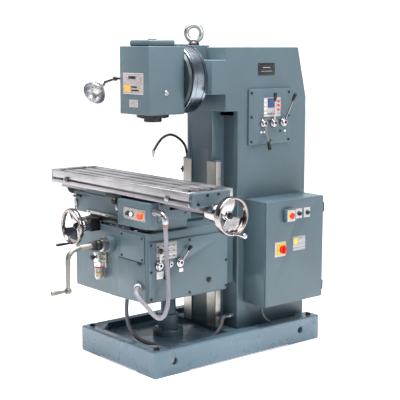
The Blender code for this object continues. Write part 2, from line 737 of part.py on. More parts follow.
def make_feed_motor(knee):
    axis = (-0.420, 0.560)
    rear = KNEE_LEFT + 0.034
    barrel = disc("X", axis, 0.070, rear + 0.060, rear + 0.240, MEDIUM, 0.008)
    flange = box((rear, rear + 0.070), (-0.490, -0.350), (0.490, 0.630), 0.004, 1)
    shaft = disc("X", axis, 0.012, rear + 0.230, rear + 0.290, COARSE)
    pinion = disc("X", axis, 0.024, rear + 0.255, rear + 0.280, COARSE)
    node(fuse(flange, barrel, shaft, pinion), "feed_motor", PAINT, knee)


def make_elevating_screw(screw):
    top = CRANK_Z - 0.015
    profile = [(0.106, 0.024), (0.112, 0.028), (0.600, 0.028), (0.600, 0.020), (top - 0.025, 0.020),
               (top - 0.015, 0.0297), (top, 0.0147)]
    node(turned("Z", (0, ELEVATING_Y), profile, MEDIUM), "elevating_screw", STEEL, screw)


def make_lube_pump(knee, plunger):
    """Hand oil pump on the knee's front: a block, a reservoir cup and a pull knob."""
    back = KNEE_FRONT - GAP
    plate = box((PUMP_X - 0.032, PUMP_X + 0.043), (back - 0.014, back), (0.560, 0.655), 0.003, 1)
    block = box((PUMP_X - 0.022, PUMP_X + 0.022), (back - 0.052, back - 0.010), (0.585, 0.650), 0.004, 1)
    cap = disc("Z", (PUMP_X, back - 0.032), 0.027, 0.560, 0.590, MEDIUM, 0.003)
    cup = turned("Z", (PUMP_X, back - 0.032), [(0.486, 0.014), (0.500, 0.024), (0.565, 0.024)],
                 MEDIUM)
    bore = disc("Y", (PUMP_X, 0.622), 0.006 + RUN, back - 0.06, back - 0.03, COARSE)
    unit = fuse(plate, block, cap, cup)
    node(cut(unit, bore), "lube_pump", STEEL, knee)
    stem = back - 0.036
    face = back - 0.052
    knob = turned("Y", (PUMP_X, 0.622), [(stem, 0.006), (face - 0.010, 0.006),
                                        (face - 0.012, 0.013), (face - 0.026, 0.015),
                                        (face - 0.034, 0.010)], MEDIUM)
    node(knob, "pump_knob", BLACK, plunger)


def make_coolant(knee, tap, swing):
    """Rigid pipe behind the table, its tap, and the self-supporting hose over the work."""
    x, y = PIPE_X, PIPE_Y
    foot = KNEE_TOP + GAP
    flange = disc("Z", (x, y), 0.018, foot, foot + 0.010, MEDIUM, 0.001)
    pipe = disc("Z", (x, y), 0.0085, foot + 0.005, 1.035, COARSE)
    valve = box((x - 0.014, x + 0.014), (y - 0.016, y + 0.012), (1.030, 1.066), 0.003, 1)
    neck = disc("Z", (x, y), 0.010, 1.060, 1.078, COARSE)
    bore = disc("Y", (x, 1.049), 0.004 + RUN, y - 0.03, y - 0.004, COARSE)
    node(cut(fuse(pipe, flange, valve, neck), bore), "coolant_pipe", STEEL, knee)
    face = y - 0.016
    stem = turned("Y", (x, 1.049), [(face + 0.010, 0.004), (face - 0.014, 0.004),
                                    (face - 0.014, 0.008), (face - 0.026, 0.008)], COARSE)
    wings = [bar((x - 0.019, face - 0.020, 1.049), (x + 0.019, face - 0.020, 1.049), 0.005, 8),
             bar((x, face - 0.020, 1.030), (x, face - 0.020, 1.068), 0.005, 8)]
    node(fuse(stem, *wings), "tap_handle", BLACK, tap)
    start = 1.078 + GAP
    route = ((x, y, start), (x, y, 1.100), (x, y - 0.001, 1.140), (x, y - 0.016, 1.190),
             (x, y - 0.049, 1.2276), (x, y - 0.096, 1.257), (x + 0.002, y - 0.144, 1.266),
             (x + 0.004, y - 0.194, 1.250), (x + 0.006, y - 0.234, 1.215),
             (x + 0.008, y - 0.266, 1.175))
    tube = hose("coolant_gooseneck", route, 0.016, 0.018)
    tip = rod((x + 0.0078, y - 0.2655, 1.179), (x + 0.011, y - 0.271, 1.140),
              [(0, 0.0087), (0.4, 0.0087), (0.5, 0.0060), (1, 0.0035)], COARSE)
    node(fuse(as_mesh(tube), tip), "coolant_gooseneck", BLACK, swing)


# ---------------------------------------------------------------- saddle

def make_saddle(saddle):
    upper = box((-0.349, 0.349), (-0.600, -0.365), (0.862, SADDLE_TOP), 0.006)
    lower = box((-0.310, 0.310), (-0.5995, -0.365), (KNEE_TOP + GAP, 0.870), 0.003, 1)
    apron = box((-0.472, 0.058), (-0.606, -0.590), (0.831, 0.953), 0.005)
    ear = box((-0.472, -0.330), (-0.6055, -0.560), (0.8315, 0.9525), 0.005)
    lug = box((CROSS_X - 0.019, CROSS_X + 0.019), (-0.500, -0.420), (0.765, 0.870))
    groove = prism("Y", dovetail(RUN), -0.7, -0.3)
    depth = TABLE_BOTTOM - TONGUE - RUN
    slide = prism("X", [(TABLE_Y - 0.0755, 1.0), (TABLE_Y - 0.0755, TABLE_BOTTOM),
                        (TABLE_Y - 0.0905, depth), (TABLE_Y + 0.0905, depth),
                        (TABLE_Y + 0.0755, TABLE_BOTTOM), (TABLE_Y + 0.0755, 1.0)], -0.5, 0.4)
    trough = box((-0.5, 0.4), (TABLE_Y - 0.030, TABLE_Y + 0.030), (0.922, 0.97))
    casting = cut(fuse(upper, lower, apron, ear, lug), groove, slide, trough)
    nut = box(mirrored(0.045), (TABLE_Y - 0.026, TABLE_Y + 0.026), (0.915, 0.9675))
    fuse(casting, nut)
    bores = [disc("X", (TABLE_Y, TABLE_SCREW_Z), 0.016 + RUN, -0.1, 0.1, MEDIUM),
             disc("Y", (CROSS_X, CROSS_Z), 0.013 + RUN, -0.62, -0.35, MEDIUM)]
    node(cut(casting, *bores), "saddle", PAINT, saddle)


CONTROL_FRONT = -0.660
BUTTON_Z = 0.899
ELBOW_X = 0.446
ELBOW_Y = -0.6215
ELBOW_Z = 0.922
CONTROL_BUTTONS = (("control_stop", 0.167, 0.011, 0.010, BLACK),
                   ("control_start", 0.204, 0.011, 0.010, WHITE),
                   ("control_estop", 0.291, 0.019, 0.022, RED))


def make_controls(saddle):
    """Switch box at the saddle's front, its conduit elbow and its push buttons."""
    back = -0.600 - GAP
    outline = [(0.060, back), (0.060, CONTROL_FRONT)]
    radius = 0.045
    centre = (0.349 - radius, CONTROL_FRONT + radius)
    for k in range(7):
        turn = math.radians(-90 + 15 * k)
        outline.append((centre[0] + radius * math.cos(turn), centre[1] + radius * math.sin(turn)))
    outline.append((0.349, back))
    case = prism("Z", outline, 0.825, 0.970)
    soften(case, 0.004)
    cut(case, box((0.130, 0.310), (-0.645, -0.612), (0.840, 0.955)))
    face = box((0.122, 0.318), (CONTROL_FRONT - 0.004, CONTROL_FRONT + 0.005), (0.868, 0.930))
    stub = disc("X", (ELBOW_Y, ELBOW_Z), 0.0150, 0.340, ELBOW_X - 0.016, COARSE)
    bend = rod((ELBOW_X - 0.034, ELBOW_Y, ELBOW_Z), (ELBOW_X + 0.0055, ELBOW_Y, ELBOW_Z),
               [(0, 0.019), (0.7, 0.019), (1, 0.012)], COARSE)
    drop = disc("Z", (ELBOW_X, ELBOW_Y), 0.0175, 0.870, ELBOW_Z + 0.005, COARSE, 0.004)
    fuse(case, face, stub, bend, drop)
    bores = [disc("Y", (x, BUTTON_Z), 0.0065 + RUN, -0.70, -0.64, COARSE)
             for _, x, _, _, _ in CONTROL_BUTTONS]
    node(cut(case, *bores), "control_box", PAINT, saddle)
    for name, x, radius, height, kind in CONTROL_BUTTONS:
        carrier = body(name, (x, CONTROL_FRONT, BUTTON_Z))
        front = CONTROL_FRONT - 0.004 - 0.005
        profile = [(CONTROL_FRONT + 0.010, 0.0065), (front, 0.0065), (front, radius),
                   (front - height + 0.003, radius), (front - height, radius - 0.003)]
        node(turned("Y", (x, BUTTON_Z), profile, MEDIUM), name, kind, carrier)


def make_engage_lever(carrier):
    y = -0.606 - GAP
    hub = turned("Y", (0.005, 0.900), [(y, 0.020), (y - 0.016, 0.020), (y - 0.020, 0.014)], MEDIUM)
    stem = bar((0.005, y - 0.010, 0.900), (0.024, y - 0.046, 0.940), 0.0050, 10)
    knob = rod((0.022, y - 0.042, 0.936), (0.034, y - 0.066, 0.962),
               [(0, 0.007), (0.25, 0.014), (0.6, 0.017), (0.9, 0.012), (1, 0.006)], COARSE)
    node(fuse(hub, stem, knob), "engage_lever", BLACK, carrier)


# ---------------------------------------------------------------- table

def tee_slot(centre, top, neck, width, neck_depth, depth):
    """Points of a tee slot in a top edge, from the low side to the high side."""
    return [(centre - neck / 2, top), (centre - neck / 2, top - neck_depth),
            (centre - width / 2, top - neck_depth), (centre - width / 2, top - depth),
            (centre + width / 2, top - depth), (centre + width / 2, top - neck_depth),
            (centre + neck / 2, top - neck_depth), (centre + neck / 2, top)]


def make_table(table):
    front, back = TABLE_Y - TABLE_HALF, TABLE_Y + TABLE_HALF
    dog_z = TABLE_TOP - 0.048
    outline = [(front, TABLE_TOP)]
    for pitch in (-0.075, 0.0, 0.075):
        outline += tee_slot(TABLE_Y + pitch, TABLE_TOP, 0.018, 0.030, 0.016, 0.030)
    outline += [(back, TABLE_TOP), (back, TABLE_BOTTOM + 0.008), (back - 0.008, TABLE_BOTTOM),
                (TABLE_Y + 0.075, TABLE_BOTTOM), (TABLE_Y + 0.090, TABLE_BOTTOM - TONGUE),
                (TABLE_Y + 0.030, TABLE_BOTTOM - TONGUE), (TABLE_Y + 0.030, TABLE_BOTTOM - 0.015),
                (TABLE_Y - 0.030, TABLE_BOTTOM - 0.015), (TABLE_Y - 0.030, TABLE_BOTTOM - TONGUE),
                (TABLE_Y - 0.090, TABLE_BOTTOM - TONGUE), (TABLE_Y - 0.075, TABLE_BOTTOM),
                (front, TABLE_BOTTOM)]
    for depth, half in ((0.0, 0.006), (0.008, 0.006), (0.008, 0.011), (0.018, 0.011)):
        outline.append((front + depth, dog_z - half))
    for depth, half in ((0.018, 0.011), (0.008, 0.011), (0.008, 0.006), (0.0, 0.006)):
        outline.append((front + depth, dog_z + half))
    casting = prism("X", outline, -TABLE_X, TABLE_X)
    pockets = []
    for side in (-1, 1):
        x = sorted((side * 0.575, side * 0.640))
        pockets.append(box(x, (front + 0.020, back - 0.020), (TABLE_TOP - 0.026, 1.2)))
    for y in (front + 0.012, back - 0.024):
        pockets.append(box(mirrored(0.640), (y, y + 0.012), (TABLE_TOP - 0.010, 1.2)))
    node(cut(casting, *pockets), "table", MACHINED, table)


def make_table_ends(table):
    """End brackets that carry the screw's bearings."""
    for side in (-1, 1):
        x = sorted((side * (TABLE_X + GAP), side * (TABLE_X + 0.032)))
        plate = box(x, (TABLE_Y - 0.1375, TABLE_Y + 0.1065), (0.984, 1.0605), 0.004)
        x = sorted((side * (TABLE_X + GAP), side * (TABLE_X + 0.066)))
        hub = disc("X", (TABLE_Y, TABLE_SCREW_Z), 0.046, x[0], x[1], FINE, 0.006)
        bore = disc("X", (TABLE_Y, TABLE_SCREW_Z), 0.016 + RUN, min(x) - 0.1, max(x) - 0.058
                    if side > 0 else max(x) + 0.1, MEDIUM)
        fuse(plate, hub)
        cutters = [bore]
        if side > 0:
            cutters.append(disc("X", (TABLE_Y, TABLE_SCREW_Z), 0.014 + RUN, 0.6, 0.8, MEDIUM))
            cutters.append(disc("X", (TABLE_Y, TABLE_SCREW_Z), 0.017, 0.6, TABLE_X + 0.012, MEDIUM))
        name = "table_bracket_right" if side > 0 else "table_bracket_left"
        node(cut(plate, *cutters), name, PAINT, table)


# ---------------------------------------------------------------- head

def make_head(head, spindle):
    ring = revolve("Y", (0, HEAD_AXIS_Z),
                   [(RING_FRONT, RING_RADIUS), (-0.148, RING_RADIUS), (-0.147, RING_RADIUS - 0.006),
                    (-0.144, RING_RADIUS - 0.006), (-0.143, RING_RADIUS),
                    (SEAT_FRONT - GAP, RING_RADIUS), (SEAT_FRONT - GAP, SHAFT_HOLE),
                    (RING_FRONT, SHAFT_HOLE)], 40)
    node(ring, "swivel_ring", STEEL, head)
    wide, deep = 0.010, 0.034
    outline = [(-HEAD_X, HEAD_FRONT), (HEAD_X, HEAD_FRONT), (HEAD_X, HEAD_BACK - deep),
               (HEAD_X - wide, HEAD_BACK), (-HEAD_X + wide, HEAD_BACK),
               (-HEAD_X, HEAD_BACK - deep)]
    casting = prism("Z", outline, HEAD_BOTTOM, HEAD_TOP)
    flange = disc("Y", (0, HEAD_AXIS_Z), 0.186, HEAD_BACK - 0.012, RING_FRONT - GAP, 40, 0.003)
    soften(casting, 0.006)
    fuse(casting, flange)
    cutters = [
        box(mirrored(0.105), (-0.463, -0.272), (1.470, 1.770)),
        disc("Z", (0, SPINDLE_Y), 0.070, 1.760, 1.9, FINE),
        disc("Z", (0, SPINDLE_Y), 0.047, 1.3, 1.5, FINE),
        disc("Y", (0, HEAD_AXIS_Z), 0.050, -0.30, HEAD_BACK - 0.006, MEDIUM),
        disc("Y", (0, HEAD_AXIS_Z), SHAFT_HOLE, -0.30, -0.1, FINE),
    ]
    node(cut(casting, *cutters), "head_casting", PAINT, head)
    top = HEAD_TOP + GAP
    cover = box(mirrored(0.097), (SPINDLE_Y - 0.089, SPINDLE_Y + 0.089), (top, top + 0.034), 0.006)
    cap = disc("Z", (0, SPINDLE_Y), 0.0245, top + 0.030, top + 0.042, MEDIUM, 0.003)
    hollow = disc("Z", (0, SPINDLE_Y), 0.060, 1.7, top + 0.022, MEDIUM)
    node(cut(fuse(cover, cap), hollow), "head_cover", PAINT, head)
    bearing = revolve("Z", (0, SPINDLE_Y), [(1.400, 0.088), (1.404, 0.0925),
                                            (HEAD_BOTTOM - GAP, 0.0925),
                                            (HEAD_BOTTOM - GAP, 0.0525), (1.400, 0.0525)])
    node(bearing, "bearing_cap", DARK_STEEL, head)
    apex = HEAD_AXIS_Z
    outline = [(NOSE_Z, 0.0485), (NOSE_Z + 0.0025, 0.051), (HEAD_BOTTOM - 0.001, 0.051),
               (HEAD_BOTTOM - 0.001, 0.0455), (1.510, 0.0455), (1.510, 0.055), (1.525, 0.0700),
               (apex - 0.0745, 0.0742), (apex - 0.040, 0.0395), (apex - 0.040, 0.030),
               (1.785, 0.030), (1.785, 0.011), (1.500, 0.011), (1.495, 0.0200),
               (NOSE_Z, 0.0345)]
    node(revolve("Z", (0, SPINDLE_Y), outline), "spindle", STEEL, spindle)


def make_lamp(arm_body, shade_body):
    """Work lamp: a jointed arm on the head's left side and a bell shade."""
    root = Vector((-HEAD_X - GAP, -0.400, 1.618))
    foot = disc("X", (root.y, root.z), 0.020, root.x - 0.012, root.x, MEDIUM, 0.002)
    elbow = Vector((-0.300, -0.415, 1.612))
    end = Vector((-0.405, -0.420, 1.588))
    arm = [bar((root.x - 0.006, root.y, root.z), elbow, 0.0085, COARSE),
           rod(elbow - Vector((0.012, 0, 0)), elbow + Vector((0.012, 0.0, 0.0)),
               [(0, 0.010), (0.3, 0.013), (0.7, 0.013), (1, 0.010)], COARSE),
           bar(elbow, end, 0.0085, COARSE)]
    node(fuse(foot, *arm), "lamp_arm", ALUMINIUM, arm_body)
    direction = Vector((0.30, -0.70, -0.42)).normalized()
    back = end + Vector((-0.028, 0.012, -0.004))
    profile = [(0.000, 0.015), (0.040, 0.017), (0.052, 0.026), (0.075, 0.050), (0.098, 0.066),
               (0.120, 0.072), (0.120, 0.069), (0.098, 0.062), (0.076, 0.046), (0.056, 0.022),
               (0.050, 0.010), (0.006, 0.010), (0.006, 0.0), (0.000, 0.0)]
    shade = revolve("Z", (0, 0), profile, FINE)
    turn = Vector((0, 0, 1)).rotation_difference(direction).to_matrix().to_4x4()
    shade.data.transform(Matrix.Translation(back) @ turn)
    node(shade, "lamp_shade", ALUMINIUM, shade_body)


# ---------------------------------------------------------------- cabinet

def make_cabinet(frame, door):
    wall = 0.003
    shell_x = CAB_X1 - DOOR_T - GAP * 2
    shell = box((CAB_X0, shell_x), (CAB_Y0, CAB_Y1), (CAB_Z0, CAB_Z1), 0.002, 1)
    inside = box((CAB_X0 + wall, 0.6), (CAB_Y0 + wall, CAB_Y1 - wall), (CAB_Z0 + wall, CAB_Z1 - wall))
    glands = [disc("Z", (0.300, 0.210), 0.014, CAB_Z0 - 0.022, CAB_Z0 + 0.004, COARSE, 0.002)]
    cut(shell, inside)
    node(fuse(shell, *glands), "cabinet", PAINT, frame)
    panel = box((CAB_X1 - DOOR_T, CAB_X1), (CAB_Y0, CAB_Y1), (CAB_Z0, CAB_Z1), 0.003)
    pan = box((CAB_X1 - 0.1, CAB_X1 - 0.0025), (CAB_Y0 + 0.006, CAB_Y1 - 0.006),
              (CAB_Z0 + 0.006, CAB_Z1 - 0.006))
    holes = [disc("X", (y, 0.822), 0.009 + RUN, CAB_X1 - 0.05, CAB_X1 + 0.05, MEDIUM)
             for y in DOOR_BUTTONS]
    node(cut(panel, pan, *holes), "cabinet_door", PAINT, door)
    start = CAB_X1 + GAP
    isolator = box((start, start + 0.012), (0.209, 0.273), (0.593, 0.657), 0.004, 1)
    stop_box = box((start, start + 0.030), (0.256, 0.330), (0.782, 0.860), 0.004, 1)
    cutter = disc("X", (0.293, 0.821), 0.0085, start + 0.010, 0.5, COARSE)
    node(isolator, "isolator_plate", YELLOW, door)
    node(cut(stop_box, cutter), "estop_box", PAINT, door)


def make_door_controls():
    start = CAB_X1 + GAP
    knob_body = body("isolator", (start, 0.241, 0.625))
    base = start + 0.012 + GAP
    dial = turned("X", (0.241, 0.625), [(base, 0.025), (base + 0.010, 0.025), (base + 0.012, 0.022),
                                        (base + 0.014, 0.020)], FINE)
    handle = box((base + 0.010, base + 0.030), (0.235, 0.247), (0.603, 0.647), 0.003, 1)
    node(fuse(dial, handle), "isolator_knob", RED, knob_body)
    for name, y in zip(("door_button_left", "door_button_right"), DOOR_BUTTONS):
        carrier = body(name, (start, y, 0.822))
        gap = start + 0.005
        profile = [(start - 0.002, 0.009), (gap, 0.009), (gap, 0.013), (gap + 0.009, 0.013),
                   (gap + 0.011, 0.010)]
        node(turned("X", (y, 0.822), profile, MEDIUM), name, BLACK, carrier)
    carrier = body("door_estop", (start, 0.293, 0.821))
    face = start + 0.030
    profile = [(face - 0.010, 0.008), (face + 0.005, 0.008), (face + 0.005, 0.019),
               (face + 0.014, 0.019), (face + 0.017, 0.013)]
    node(turned("X", (0.293, 0.821), profile, MEDIUM), "door_estop", RED, carrier)


# ---------------------------------------------------------------- hoses and cables

# Control-box conduit: its elbow down past the knee, a low loop, and up to the knee's front.
CONDUIT_ROUTE = ((0.446, -0.6215, 0.8695), (0.446, -0.6215, 0.848), (0.445, -0.619, 0.810),
                 (0.440, -0.612, 0.755), (0.433, -0.606, 0.700), (0.423, -0.592, 0.620),
                 (0.415, -0.582, 0.540), (0.410, -0.577, 0.470), (0.405, -0.580, 0.410),
                 (0.403, -0.600, 0.365), (0.400, -0.632, 0.352), (0.393, -0.664, 0.376),
                 (0.378, -0.696, 0.420), (0.350, -0.722, 0.460), (0.3131, -0.7186, 0.4896),
                 (0.2931, -0.6998, 0.4973), (0.2791, -0.6866, 0.5027))

# Coolant return: knee underside to the tray floor, along it, and up to the column's foot.
COOLANT_ROUTE = ((0.0, -0.560, 0.3885), (0.0, -0.560, 0.365), (0.001, -0.563, 0.338),
                 (0.004, -0.566, 0.285),
                 (0.020, -0.562, 0.215), (0.065, -0.545, 0.160), (0.135, -0.515, 0.133),
                 (0.210, -0.455, 0.125), (0.258, -0.370, 0.125), (0.275, -0.280, 0.125),
                 (0.272, -0.190, 0.126), (0.252, -0.110, 0.138), (0.222, -0.045, 0.165),
                 (0.200, -0.012, 0.196), (0.193, 0.010, 0.207), (0.193, 0.0305, 0.207))

# Cabinet supply cable: cabinet underside, along the base, to the fitting at the rear corner.
CABLE_ROUTE = ((0.300, 0.210, 0.2675), (0.300, 0.210, 0.250), (0.300, 0.216, 0.225),
               (0.299, 0.235, 0.190),
               (0.296, 0.268, 0.160), (0.291, 0.320, 0.137), (0.288, 0.380, 0.125),
               (0.284, 0.425, 0.131), (0.284, 0.445, 0.134), (0.284, 0.4593, 0.134))


def make_hoses(frame, knee):
    node(hose("conduit_hose", CONDUIT_ROUTE, 0.026, 0.045, 2), "conduit_hose", GREY_HOSE, knee)
    node(hose("coolant_hose", COOLANT_ROUTE, 0.023, 0.045, 2), "coolant_hose", GREY_HOSE, frame)
    node(hose("cabinet_cable", CABLE_ROUTE, 0.014, 0.030, 2), "cabinet_cable", BLACK, frame)
    elbow = disc("Y", (0.193, 0.207), 0.017, 0.031, COLUMN_FRONT - GAP, COARSE, 0.002)
    node(elbow, "hose_fitting", STEEL, frame)


# ---------------------------------------------------------------- assembly

def main():
    clear_scene()
    frame = body("frame")
    make_base(frame)
    make_column(frame)
    make_speed_plate(frame)
    make_eye_bolt(frame)
    make_pedestal(frame)
    make_drive(frame, body("rotor", (0, 0.39, MOTOR_Z)), body("drive", (0, 0, HEAD_AXIS_Z)))
    make_speed_levers()
    make_cabinet(frame, body("door", (CAB_X1 + GAP, CAB_Y1 + GAP, CAB_Z0)))
    make_door_controls()

    head = body("head", (0, SEAT_FRONT, HEAD_AXIS_Z))
    make_head(head, body("spindle", (0, SPINDLE_Y, NOSE_Z)))
    make_lamp(body("lamp_arm", (-HEAD_X, -0.400, 1.618)), body("lamp_shade", (-0.433, -0.408, 1.584)))

    knee = body("knee", (0, 0, KNEE_TOP))
    make_knee(knee)
    make_knee_covers(knee)
    make_feed_motor(knee)
    make_elevating_screw(body("elevating_screw", (0, ELEVATING_Y, 0)))
    make_lube_pump(knee, body("pump", (PUMP_X, KNEE_FRONT, 0.622)))
    make_coolant(knee, body("tap", (PIPE_X, PIPE_Y, 1.049)), body("gooseneck", (PIPE_X, PIPE_Y, 1.078)))
    make_feed_levers()
    make_cross_wheel(body("cross_wheel", (CROSS_X, -0.8, CROSS_Z)),
                     body("cross_grip", (CROSS_X, -0.8385, CROSS_Z - 0.093)))
    make_crank(body("crank", (0, -0.8, CRANK_Z)), body("crank_grip", (0, -0.968, 0.477)))

    saddle = body("saddle", (0, 0, KNEE_TOP))
    make_saddle(saddle)
    make_controls(saddle)
    make_engage_lever(body("engage_lever", (0.005, -0.606, 0.900)))

    table = body("table", (0, TABLE_Y, TABLE_BOTTOM))
    make_table(table)
    make_table_ends(table)
    make_table_wheel(body("table_wheel", (0.8, TABLE_Y, TABLE_SCREW_Z)),
                     body("table_grip", (0.840, TABLE_Y, TABLE_SCREW_Z - 0.088)))
    make_hoses(frame, knee)


main()
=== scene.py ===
"""Looks of the vertical knee-type milling machine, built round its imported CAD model.

Metres, +Z up, +X is the operator's right and -Y the operator's side.  Every new piece is
modelled where it stands at rest and rides on a CAD body.
"""
import json
import math

import bmesh
import bpy
from mathutils import Matrix, Vector


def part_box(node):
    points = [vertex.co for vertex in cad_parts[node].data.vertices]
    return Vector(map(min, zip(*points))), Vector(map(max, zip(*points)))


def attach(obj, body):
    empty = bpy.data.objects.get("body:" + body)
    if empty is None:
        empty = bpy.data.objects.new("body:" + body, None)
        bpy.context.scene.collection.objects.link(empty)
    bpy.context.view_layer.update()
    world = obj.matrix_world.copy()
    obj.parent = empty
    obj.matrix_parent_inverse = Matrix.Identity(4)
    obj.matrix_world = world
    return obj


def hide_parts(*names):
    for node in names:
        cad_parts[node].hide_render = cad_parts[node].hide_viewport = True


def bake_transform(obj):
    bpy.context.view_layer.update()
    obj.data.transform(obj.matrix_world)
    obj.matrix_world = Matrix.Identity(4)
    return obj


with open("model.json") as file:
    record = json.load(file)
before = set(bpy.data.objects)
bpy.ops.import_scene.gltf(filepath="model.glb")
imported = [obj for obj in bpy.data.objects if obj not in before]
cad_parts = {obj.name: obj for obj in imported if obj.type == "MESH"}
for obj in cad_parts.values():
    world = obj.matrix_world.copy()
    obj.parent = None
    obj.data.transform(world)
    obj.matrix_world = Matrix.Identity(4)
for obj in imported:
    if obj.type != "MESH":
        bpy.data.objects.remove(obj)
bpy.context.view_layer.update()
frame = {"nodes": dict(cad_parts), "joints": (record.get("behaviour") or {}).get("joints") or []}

ROUND = 64              # sides of a large turned piece
SMALL_ROUND = 32
SCREW_SIDES = 24
SKIN = 0.0006           # how far a flat overlay stands off the face behind it

# Places that the CAD gives, read from its boxes
BASE_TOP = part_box("base")[1].z
COLUMN_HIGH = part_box("column")[1]
PLATE_LOW, PLATE_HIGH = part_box("gearbox_plate")
DOOR_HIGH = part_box("cabinet_door")[1]
HEAD_LOW, HEAD_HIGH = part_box("head_casting")
COVER_LOW, COVER_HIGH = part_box("knee_side_cover")
FRONT_COVER_LOW, FRONT_COVER_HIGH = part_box("knee_front_cover")
TABLE_LOW, TABLE_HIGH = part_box("table")
SADDLE_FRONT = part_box("saddle")[0].y
CONTROL_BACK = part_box("control_box")[1].y - 0.0003
STOP_BOX_LOW, STOP_BOX_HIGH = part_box("estop_box")
ISOLATOR_LOW, ISOLATOR_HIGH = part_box("isolator_plate")
JOINTS = {joint["name"]: joint for joint in frame["joints"]}


def joint_point(name):
    return Vector(JOINTS[name]["pos_m"])


# ---------------------------------------------------------------- shapes

def place(axis, along, a, b):
    """A point from its coordinate along an axis and its two others, in X, Y, Z order."""
    if axis == "X":
        return Vector((along, a, b))
    if axis == "Y":
        return Vector((a, along, b))
    return Vector((a, b, along))


def bevelled(bm, edges, width, segments):
    if width:
        bmesh.ops.bevel(bm, geom=edges, offset=width, segments=segments, profile=0.5, affect="EDGES")
    return bm


def box(low, high, bevel=0.0, segments=2):
    bm = bmesh.new()
    bmesh.ops.create_cube(bm, size=1.0)
    low, high = Vector(low), Vector(high)
    bmesh.ops.transform(bm, matrix=Matrix.Diagonal(high - low).to_4x4(), verts=bm.verts[:])
    bmesh.ops.translate(bm, vec=(low + high) / 2, verts=bm.verts[:])
    return bevelled(bm, bm.edges[:], bevel, segments)


def prism(axis, outline, low, high, bevel=0.0, segments=2):
    bm = bmesh.new()
    face = bm.faces.new([bm.verts.new(place(axis, low, a, b)) for a, b in outline])
    made = bmesh.ops.extrude_face_region(bm, geom=[face])
    moved = [v for v in made["geom"] if isinstance(v, bmesh.types.BMVert)]
    bmesh.ops.translate(bm, vec=place(axis, high - low, 0, 0), verts=moved)
    sharp = [e for e in bm.edges if e.calc_face_angle(0) > math.radians(30)]
    return bevelled(bm, sharp, bevel, segments)


def ring_of(bm, sides, point_at):
    """A ring of vertices, each placed by a function of its turn."""
    return [bm.verts.new(point_at(2 * math.pi * k / sides)) for k in range(sides)]


def skin(bm, rings, closed=False):
    """Faces between neighbouring rings, with the first and last one capped or joined."""
    for one, two in zip(rings, rings[1:] + rings[:1] if closed else rings[1:]):
        for k in range(len(one)):
            j = (k + 1) % len(one)
            bm.faces.new((one[k], one[j], two[j], two[k]))
    if not closed:
        bm.faces.new(rings[0])
        bm.faces.new(rings[-1])


def stepped(face, outward, steps):
    """A profile from (height above a face, radius) pairs, outward being 1 or -1."""
    return [(face + outward * height, radius) for height, radius in steps]


def revolve(axis, centre, outline, sides=ROUND):
    """Turn a closed outline of (along, radius) about an axis through centre."""
    bm = bmesh.new()
    columns = []
    for along, radius in outline:
        if radius < 1e-6:
            columns.append([bm.verts.new(place(axis, along, *centre))] * sides)
            continue
        columns.append(ring_of(bm, sides, lambda turn: place(axis, along,
            centre[0] + radius * math.cos(turn), centre[1] + radius * math.sin(turn))))
    for i, one in enumerate(columns):
        two = columns[(i + 1) % len(columns)]
        for k in range(sides):
            j = (k + 1) % sides
            corners = list(dict.fromkeys((one[k], one[j], two[j], two[k])))
            if len(corners) > 2:
                bm.faces.new(corners)
    return bm


def turned(axis, centre, profile, sides=ROUND):
    """A solid turned piece from its outer profile of (along, radius)."""
    return revolve(axis, centre, list(profile) + [(profile[-1][0], 0.0), (profile[0][0], 0.0)], sides)


def sleeve(axis, centre, start, end, bore, radius, sides=ROUND):
    """A plain ring between two places along its axis."""
    return revolve(axis, centre, [(start, bore), (start, radius), (end, radius), (end, bore)], sides)


def disc(axis, centre, radius, low, high, chamfer=0.001, sides=SMALL_ROUND):
    return turned(axis, centre, [(low, radius - chamfer), (low + chamfer, radius),
        (high - chamfer, radius), (high, radius - chamfer)], sides)


def aim(bm, start, direction):
    """Move a shape made along +Z from the origin to start, along direction."""
    turn = Vector((0, 0, 1)).rotation_difference(Vector(direction)).to_matrix().to_4x4()
    bmesh.ops.transform(bm, matrix=Matrix.Translation(Vector(start)) @ turn, verts=bm.verts[:])
    return bm


def swung(bm, z, degrees):
    """Turn a shape that stands on the origin about Y, then lift it to a height."""
    bmesh.ops.transform(bm, matrix=Matrix.Translation((0, 0, z)) @ Matrix.Rotation(math.radians(degrees),
        4, "Y"), verts=bm.verts[:])
    return bm


def rod(start, end, profile, sides=SMALL_ROUND):
    """A turned piece between two points, from (share of length, radius) pairs."""
    start, end = Vector(start), Vector(end)
    length = (end - start).length
    piece = turned("Z", (0, 0), [(share * length, radius) for share, radius in profile], sides)
    return aim(piece, start, end - start)


def smooth_route(points, spacing):
    """Points about every spacing on a Catmull-Rom curve through the route."""
    path = [Vector(p) for p in points]
    path = [2 * path[0] - path[1]] + path + [2 * path[-1] - path[-2]]
    fine = []
    for a, b, c, d in zip(path, path[1:], path[2:], path[3:]):
        steps = max(2, int((c - b).length / spacing * 4))
        for step in range(steps):
            t = step / steps
            fine.append(0.5 * (2 * b + (c - a) * t + (2 * a - 5 * b + 4 * c - d) * t * t +
                (3 * b - a - 3 * c + d) * t ** 3))
    fine.append(path[-2])
    kept = [fine[0]]
    for point in fine[1:-1]:
        if (point - kept[-1]).length >= spacing and (point - fine[-1]).length > spacing * 0.6:
            kept.append(point)
    return kept + [fine[-1]]


